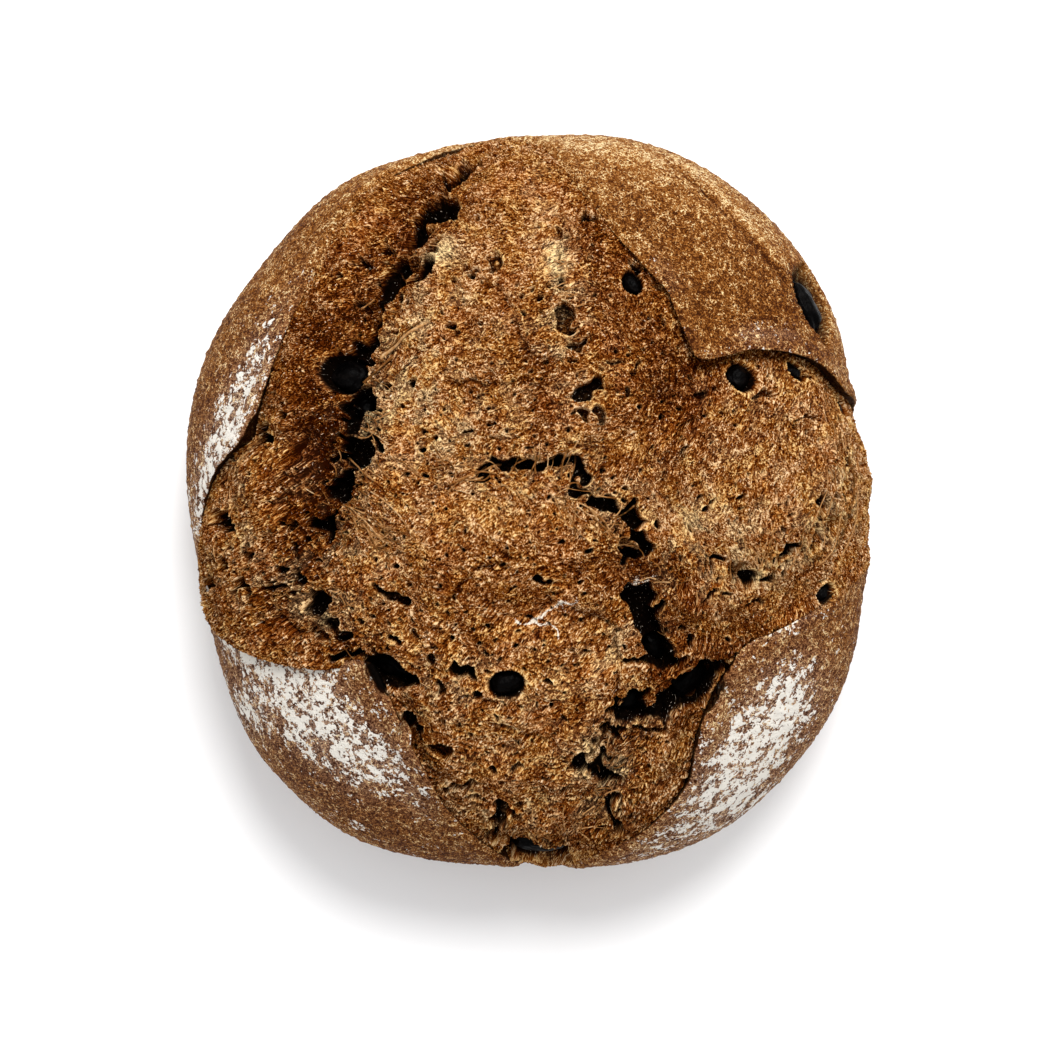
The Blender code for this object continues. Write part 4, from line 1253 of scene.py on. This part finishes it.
crustColours = {
    "tones": (
        (0.0, colour(62, 27, 4)), (0.15, colour(94, 48, 11)), (0.3, colour(117, 65, 19)),
        (0.46, colour(138, 83, 32)), (0.62, colour(159, 104, 49)), (0.78, colour(187, 132, 73)),
        (0.9, colour(219, 169, 107)), (1.0, colour(250, 226, 176)),
    ),
    "flour": colour(250, 244, 234),
    "amber": (1.0, 0.92, 0.70),  # what the tones are multiplied by in places
}


crustShade = {  # how much each drawing counts in the crust's light and dark, and in its flour
    "seams": 0.30,
    "narrow": 0.26,
    "curl": 0.22,
    "worms": 1.2,
    "fine": 2.2,
    "broad": 0.4,
    "plates": 0.16,
    "lines": 1.3,
    "lower": 0.08,
    "patchy": 0.4,
    "middle": 0.20,
    "amber": 0.35,
    "flakes": 0.34,
    "flourClouds": 1.1,
    "flourWorms": 0.9,
    "flourFine": 0.5,
    "flourLines": 0.3,
    "flourFrom": 1.02,  # where flakes start to show, and how much sooner where the flour is dense
    "flourDense": 0.40,
    "haze": 0.16,
    # painted shade on the torn wall under the lip
    "torn": 0.85,
    "roughness": (0.62, 0.3),  # of the crust, and how much more on flour
    "flourHeight": 0.2,
    "bump": (0.0005, 0.6),
}


def crustFinish():
    finish = Finish("bakedCrust", IOR=1.45, Specular_IOR_Level=0.03)
    shade = crustShade
    around = finish.node("ShaderNodeAttribute", {"attribute_name": "around"}, out="Vector")
    patchy = finish.noise(55, 3.0, 0.6) - 0.5
    broad = finish.noise(300, 2.0, 0.6) - 0.5
    worms = finish.noise(900, 1.5, 0.6, 0.35) - 0.5
    fine = finish.noise(2000, 2.0, 0.7) - 0.5
    curls = finish.wavy(finish.wavy(finish.place, 400, 0.002), 1100, 0.001)
    plates = finish.red(finish.cells(curls, 700)) - 0.5
    seams = netLines(finish, curls, 620, 0.10)
    narrow = netLines(finish, curls, 1000, 0.14)
    ridges = finish.noise(760, 2.0, 0.5, 0.8)
    curl = 1 - finish.ease(abs(ridges - 0.5), 0.0, 0.04)
    lines = seams * shade["seams"] + narrow * shade["narrow"] + curl * shade["curl"]
    lines = lines * (0.7 + finish.ease(broad, -0.08, 0.12) * 0.5)
    light = worms * shade["worms"] + fine * shade["fine"] + broad * shade["broad"] + plates * shade["plates"]
    light = light + lines * shade["lines"] - shade["lower"]
    tone = light + finish.held("tone") + patchy * shade["patchy"] + shade["middle"]
    base = finish.ramp(finish.clamp(tone), crustColours["tones"])
    tint = finish.ease(finish.noise(90, 2.0, 0.5), 0.4, 0.62)
    base = finish.mixed(tint * shade["amber"], base, crustColours["amber"], "MULTIPLY")
    cover = finish.held("flour")
    flakes = finish.red(finish.cells(finish.wavy(around, 500, 0.0026), 520))
    clouds = finish.noise(330, 2.0, 0.6, 0.6, place=around)
    dust = flakes * shade["flakes"] + clouds * shade["flourClouds"] + worms * shade["flourWorms"]
    dust = dust + fine * shade["flourFine"] - lines * shade["flourLines"] - shade["flourFrom"]
    dust = dust + finish.ease(cover, 0.0, 1.0) * shade["flourDense"]
    floury = finish.ease(dust, -0.02, 0.05) * finish.ease(cover, 0.0, 0.06)
    dusty = finish.clamp(cover) * shade["haze"] * finish.ease(light, -0.3, 0.3)
    base = finish.mixed(dusty, base, crustColours["flour"])
    base = finish.mixed(floury, base, crustColours["flour"])
    # painted shade: the torn wall under the lip takes the crumb's darkest tone
    base = finish.mixed(finish.held("torn") * shade["torn"], base, crumbColours["tones"][0][1])
    # painted shade: the hollows round the olives turn black
    base = finish.mixed(finish.held("pit"), base, crumbColours["pit"])
    bare, more = shade["roughness"]
    finish.set(Base_Color=base, Roughness=bare + floury * more)
    finish.set(Normal=finish.bump(light + floury * shade["flourHeight"], *shade["bump"]))
    return finish.material


oliveColours = {"skin": colour(3, 2, 2), "sheen": colour(13, 9, 8)}


def oliveFinish():
    finish = Finish("oliveSkin", Roughness=0.34, Specular_IOR_Level=0.03)
    # painted sheen in patches on the black skin
    sheenPatches = finish.ease(finish.noise(500, 2.0, 0.6), 0.5, 0.75)
    creases = finish.noise(900, 3.0, 0.6, 1.2)
    finish.set(Base_Color=finish.mixed(sheenPatches, oliveColours["skin"], oliveColours["sheen"]))
    finish.set(Normal=finish.bump(creases, 0.0004, 0.6))
    return finish.material


def olivePiece(number, row, seat, out, material):
    _, _, length, width, thick, turn, sunk = row
    deselect()
    bpy.ops.mesh.primitive_uv_sphere_add(segments=olive["segments"], ring_count=olive["rings"], radius=1)
    piece = bpy.context.object
    piece.name = piece.data.name = f"oliveSkin{number:02d}"
    ball = coordinates(piece.data)
    turned = oliveTurn(out, turn)
    crease = np.sin(olive["folds"] * np.arctan2(ball[:, 2], ball[:, 1]) + olive["foldTwist"] * ball[:, 0])
    creased = 1 - olive["wrinkle"] * (1 + crease) / 2
    full = np.sign(ball) * np.abs(ball) ** olive["fullness"]
    (broad, broadDeep), (small, smallDeep) = olive["dimples"]
    dimples = 1 + broadDeep * lumps(ball, broad, number) + smallDeep * lumps(ball, small, 3 * number)
    local = full * (creased * dimples)[:, None] * (np.array([length, width, thick]) / 2)
    reshape(piece.data, placed(local @ turned.T + seat - out * sunk))
    return finished(piece, material, "olive", f"olive_{number:02d}")


strand = {
    "steps": 7,
    # flakes and thick fibres laid one by one: half thickness, how far they stand up, how pale, route
    "laid": (
        (0.55, 0.5, 0.9, ((-22, 4), (-17, 6), (-12, 8), (-8, 9.5))),
        (0.40, 0.4, 0.8, ((-23, 1), (-20, 4), (-16, 6.5))),
        (0.35, 0.6, 0.9, ((-15, 4), (-14, 7), (-12, 9))), (0.32, 0.3, 0.7, ((0, 5.5), (1, 8), (3, 12))),
        (0.40, 0.3, 0.8, ((9, 6), (9.5, 10), (11, 14))), (0.35, 0.3, 0.6, ((11.5, 5), (13, 9), (13.5, 12))),
        (0.30, 0.3, 0.8, ((17, 0), (19, 3), (20, 5))), (0.35, 0.3, 0.7, ((23, -6), (27, -4), (30, -2))),
        (0.70, 0.6, -1.2, ((-42, 40), (-37, 43), (-33, 46), (-28, 49))),
        (0.25, 0.9, 0.6, ((-42, 41), (-37, 44), (-33, 47), (-29, 50))),
        (0.45, 0.4, 0.0, ((-47, 33), (-42, 37), (-38, 40))),
        (0.50, 0.5, 0.5, ((43, -49), (46, -47), (50, -46))),
        (0.40, 0.3, 0.3, ((-54, 12), (-49, 9), (-43, 5))),
        (0.35, 0.3, 0.6, ((-50, 4), (-44, 0), (-38, -5))),
        (0.35, 0.3, 0.5, ((-52, -2), (-46, -6), (-40, -12))),
        (0.35, 0.3, 0.6, ((-44, 2), (-38, -2), (-33, -8), (-30, -14))),
        (0.30, 0.3, 0.8, ((-30, 18), (-26, 14), (-22, 8))),
        (0.40, 0.3, 0.7, ((84, -18), (88, -10), (90, 0), (88, 12))),
        (0.35, 0.3, 0.6, ((80, -20), (85, -12), (86, -2))),
        (0.35, 0.3, 0.8, ((88, -16), (92, -6), (92.5, 4))), (0.30, 0.3, 0.5, ((76, -8), (80, 2), (80, 12))),
    ),
    "laidSteps": 12,
    "seed": 5,
    # the least and the most for the others
    "thickness": (0.12, 0.36),
    "lift": (0.0, 0.3),
    "pale": (0.1, 0.9),
    "spread": 0.55,  # how far they scatter, as a share of their zone
    "strayShare": 0.7,
    "bend": 5,  # how evenly a strand bends, and how it wavers, in degrees a step
    "waver": 9,
    "sunk": 0.1,  # how deep the ends are pressed in
    "taper": 0.45,
    "fromEdge": 0.5,
    "pitAtEnds": 0.25,  # no strand ends in a hole darker than this
    # place, half length, half width, turn, how many, shortest, longest, how they lie and how far they stray
    "zones": (
        (-24, 86, 14, 4, 56, 50, 2.5, 5.0, -20, 30), (-38, 64, 14, 4, 58, 60, 2.5, 5.5, -15, 35),
        (-48, 34, 12, 4, 75, 60, 3.0, 6.0, -12, 30), (-50, 12, 16, 5, 74, 130, 3.0, 7.5, -25, 30),
        (9, 58, 30, 3, 100, 70, 2.0, 4.0, 12, 25), (4, 9, 18, 3, 0, 60, 2.5, 5.0, 75, 25),
        (24, -7, 16, 4, -50, 70, 3.0, 6.0, 20, 30), (34, -34, 12, 4, -65, 40, 2.5, 5.0, 10, 40),
        (46, -54, 12, 5, 25, 50, 2.5, 5.0, 80, 40), (22, -78, 17, 7, 68, 70, 2.5, 5.0, 30, 45),
        (66, -17, 20, 4, 22, 90, 2.5, 5.5, 80, 22), (84, -2, 13, 4, 65, 30, 3.0, 6.0, 85, 20),
        (-84, -6, 22, 4, 84, 40, 2.5, 5.0, 80, 25), (-60, -28, 12, 6, -25, 50, 2.5, 5.0, -15, 45),
        (-42, -50, 10, 5, -30, 40, 2.5, 5.0, -40, 45), (0, -95, 20, 5, 0, 70, 2.5, 5.0, 80, 35),
        (-46, -8, 12, 4, -35, 50, 4.0, 8.0, -38, 14), (-24, 8, 16, 4, -8, 30, 4.0, 8.0, -12, 14),
        (14, -2, 10, 5, -30, 30, 3.5, 8.0, -35, 16), (86, 14, 16, 4, 92, 30, 5.0, 9.0, 96, 10),
    ),
}


def strandPlaces(draw):  # the flat map's places along each strand
    lines = []
    for x, y, halfLength, halfWidth, turn, many, least, most, lie, stray in strand["zones"]:
        turn = math.radians(turn)
        for _ in range(many):
            along = draw.gauss(0, strand["spread"]) * halfLength
            aside = draw.gauss(0, strand["spread"]) * halfWidth
            placeX = x + along * math.cos(turn) - aside * math.sin(turn)
            placeY = y + along * math.sin(turn) + aside * math.cos(turn)
            flat = toFlat(*surfaceAngles([(placeX, placeY)]))[0]
            heading = math.radians(lie + draw.gauss(0, stray * strand["strayShare"]))
            step = draw.uniform(least, most) / (strand["steps"] - 1)
            bend = math.radians(draw.gauss(0, strand["bend"]))
            line = [flat]
            for _ in range(strand["steps"] - 1):
                heading += bend + math.radians(draw.gauss(0, strand["waver"]))
                line.append(line[-1] + step * np.array([math.cos(heading), math.sin(heading)]))
            lines.append(line)
    return np.array(lines)


def laidPlaces(route):
    fine = strand["laidSteps"]
    chosen = np.linspace(0, fine * (len(route) - 1), strand["steps"]).astype(int)
    return toFlat(*surfaceAngles(smoothRoute(route, fine)[chosen]))


def laidOrDrawn(draw, column, name, grown):  # a value for each strand, as listed or else drawn by lot
    laid = [row[column] for row in strand["laid"]]
    return np.array(laid + [draw.uniform(*strand[name]) for _ in range(grown)])


def strandPiece(material):
    draw = random.Random(strand["seed"])
    steps = strand["steps"]
    grown = strandPlaces(draw)
    laid = [laidPlaces(route) for *_, route in strand["laid"]]
    lines = np.concatenate([laid, grown])
    flat = lines.reshape(-1, 2)
    form = crumbForm(flat)
    angle, polar = fromFlat(flat)
    height = form["height"].reshape(-1, steps)
    inside = np.hypot(*flat.T) < edgeReach(flat) - strand["fromEdge"]
    ends = form["pit"].reshape(-1, steps)[:, [0, -1]]
    kept = inside.reshape(-1, steps).all(1) & (ends < strand["pitAtEnds"]).all(1)
    kept[:len(laid)] = True
    lift = laidOrDrawn(draw, 1, "lift", len(grown))[:, None]
    pale = laidOrDrawn(draw, 2, "pale", len(grown))
    thick = laidOrDrawn(draw, 0, "thickness", len(grown))
    share = np.linspace(0, 1, steps)
    arch = np.sin(share * math.pi)
    straight = height[:, :1] * (1 - share) + height[:, -1:] * share
    height = np.maximum(height, straight) + lift * arch - strand["sunk"] * (1 - arch)
    points = placed(domePoint(angle, polar) + form["out"] * height.reshape(-1)[:, None]).reshape(-1, steps, 3)
    curve = bpy.data.curves.new("strands", "CURVE")
    curve.dimensions = "3D"
    curve.bevel_depth = mm
    curve.bevel_resolution = 0
    curve.use_fill_caps = True
    for line, half in zip(points[kept], thick[kept]):
        spline = curve.splines.new("POLY")
        spline.points.add(steps - 1)
        spline.points.foreach_set("co", np.column_stack([line, np.ones(steps)]).ravel())
        spline.points.foreach_set("radius", half * (1 - strand["taper"] * arch))
    piece = bpy.data.objects.new("strands", curve)
    bpy.context.scene.collection.objects.link(piece)
    deselect()
    piece.select_set(True)
    bpy.context.view_layer.objects.active = piece
    bpy.ops.object.convert(target="MESH")
    piece = bpy.context.object
    around = len(piece.data.vertices) // kept.sum()
    paint(piece.data, "pale", np.repeat(pale[kept], around))
    print(f"strands: {kept.sum()} of {len(lines)}, {len(piece.data.polygons)} faces")
    return finished(piece, material, "crust")


strandColours = (
    (0.0, colour(62, 44, 20)), (0.3, colour(134, 84, 40)), (0.7, colour(190, 142, 90)),
    (1.0, colour(226, 194, 152)),
)


def strandFinish():
    finish = Finish("crumbStrand", Roughness=0.85, Specular_IOR_Level=0.0)
    tone = finish.held("pale") * 0.8 + (finish.noise(900, 2.0, 0.6) - 0.5) * 1.2 + 0.05
    finish.set(Base_Color=finish.ramp(finish.clamp(tone), strandColours))
    return finish.material


photo = {
    "middle": (-2.33, -5.97),  # the picture's middle on the plan
    "distance": 1.1,
    "frameWidth": 0.30285,  # how wide the picture is at the loaf's widest height
    "sensor": 36,
}


def shootingTable():
    deselect()
    bpy.ops.mesh.primitive_plane_add(size=studio["paperSize"], location=(0, 0, 0))
    floor = bpy.context.object
    floor.name = "floor"
    paper = Finish("paper", Roughness=0.9)
    paper.set(Base_Color=studio["paper"])
    floor.data.materials.append(paper.material)
    world = bpy.data.worlds.new("studio")
    bpy.context.scene.world = world
    world.use_nodes = True
    world.node_tree.nodes["Background"].inputs[0].default_value = (1.0, 1.0, 1.0, 1)
    world.node_tree.nodes["Background"].inputs[1].default_value = studio["sky"]
    softbox = bpy.data.lights.new("softbox", "AREA")
    softbox.shape = "DISK"
    softbox.size = studio["lampSize"]
    softbox.energy = studio["lamp"]
    softbox.color = studio["lampColour"]
    lamp = bpy.data.objects.new("softbox", softbox)
    lamp.location = studio["lampPlace"]
    lamp.rotation_euler = (Vector(studio["lampAim"]) - lamp.location).to_track_quat("-Z", "Y").to_euler()
    bpy.context.scene.collection.objects.link(lamp)


def photographCamera():
    made = bpy.data.cameras.new("camera")
    made.sensor_width = photo["sensor"]
    made.lens = photo["sensor"] * (photo["distance"] - loaf["widestHeight"] * mm) / photo["frameWidth"]
    made.clip_start = 0.01
    camera = bpy.data.objects.new("camera", made)
    x, y = photo["middle"][0] + loaf["shift"][0], photo["middle"][1] + loaf["shift"][1]
    camera.location = (x * mm, y * mm, photo["distance"])
    bpy.context.scene.collection.objects.link(camera)
    bpy.context.scene.camera = camera
    bpy.context.scene.view_settings.view_transform = "Standard"


shootingTable()
photographCamera()
crumbMaterial = crumbFinish()
for name, start in crumb["quarters"].items():
    crumbQuarter(name, start, crumbMaterial)
    report(name)
crustMesh(crustFinish())
report("crust")
oliveMaterial = oliveFinish()
for number, (row, seat, out) in enumerate(zip(olive["pieces"], seats, seatOut), start=1):
    olivePiece(number, row, seat, out, oliveMaterial)
report("olives")
strandPiece(strandFinish())
report("strands")
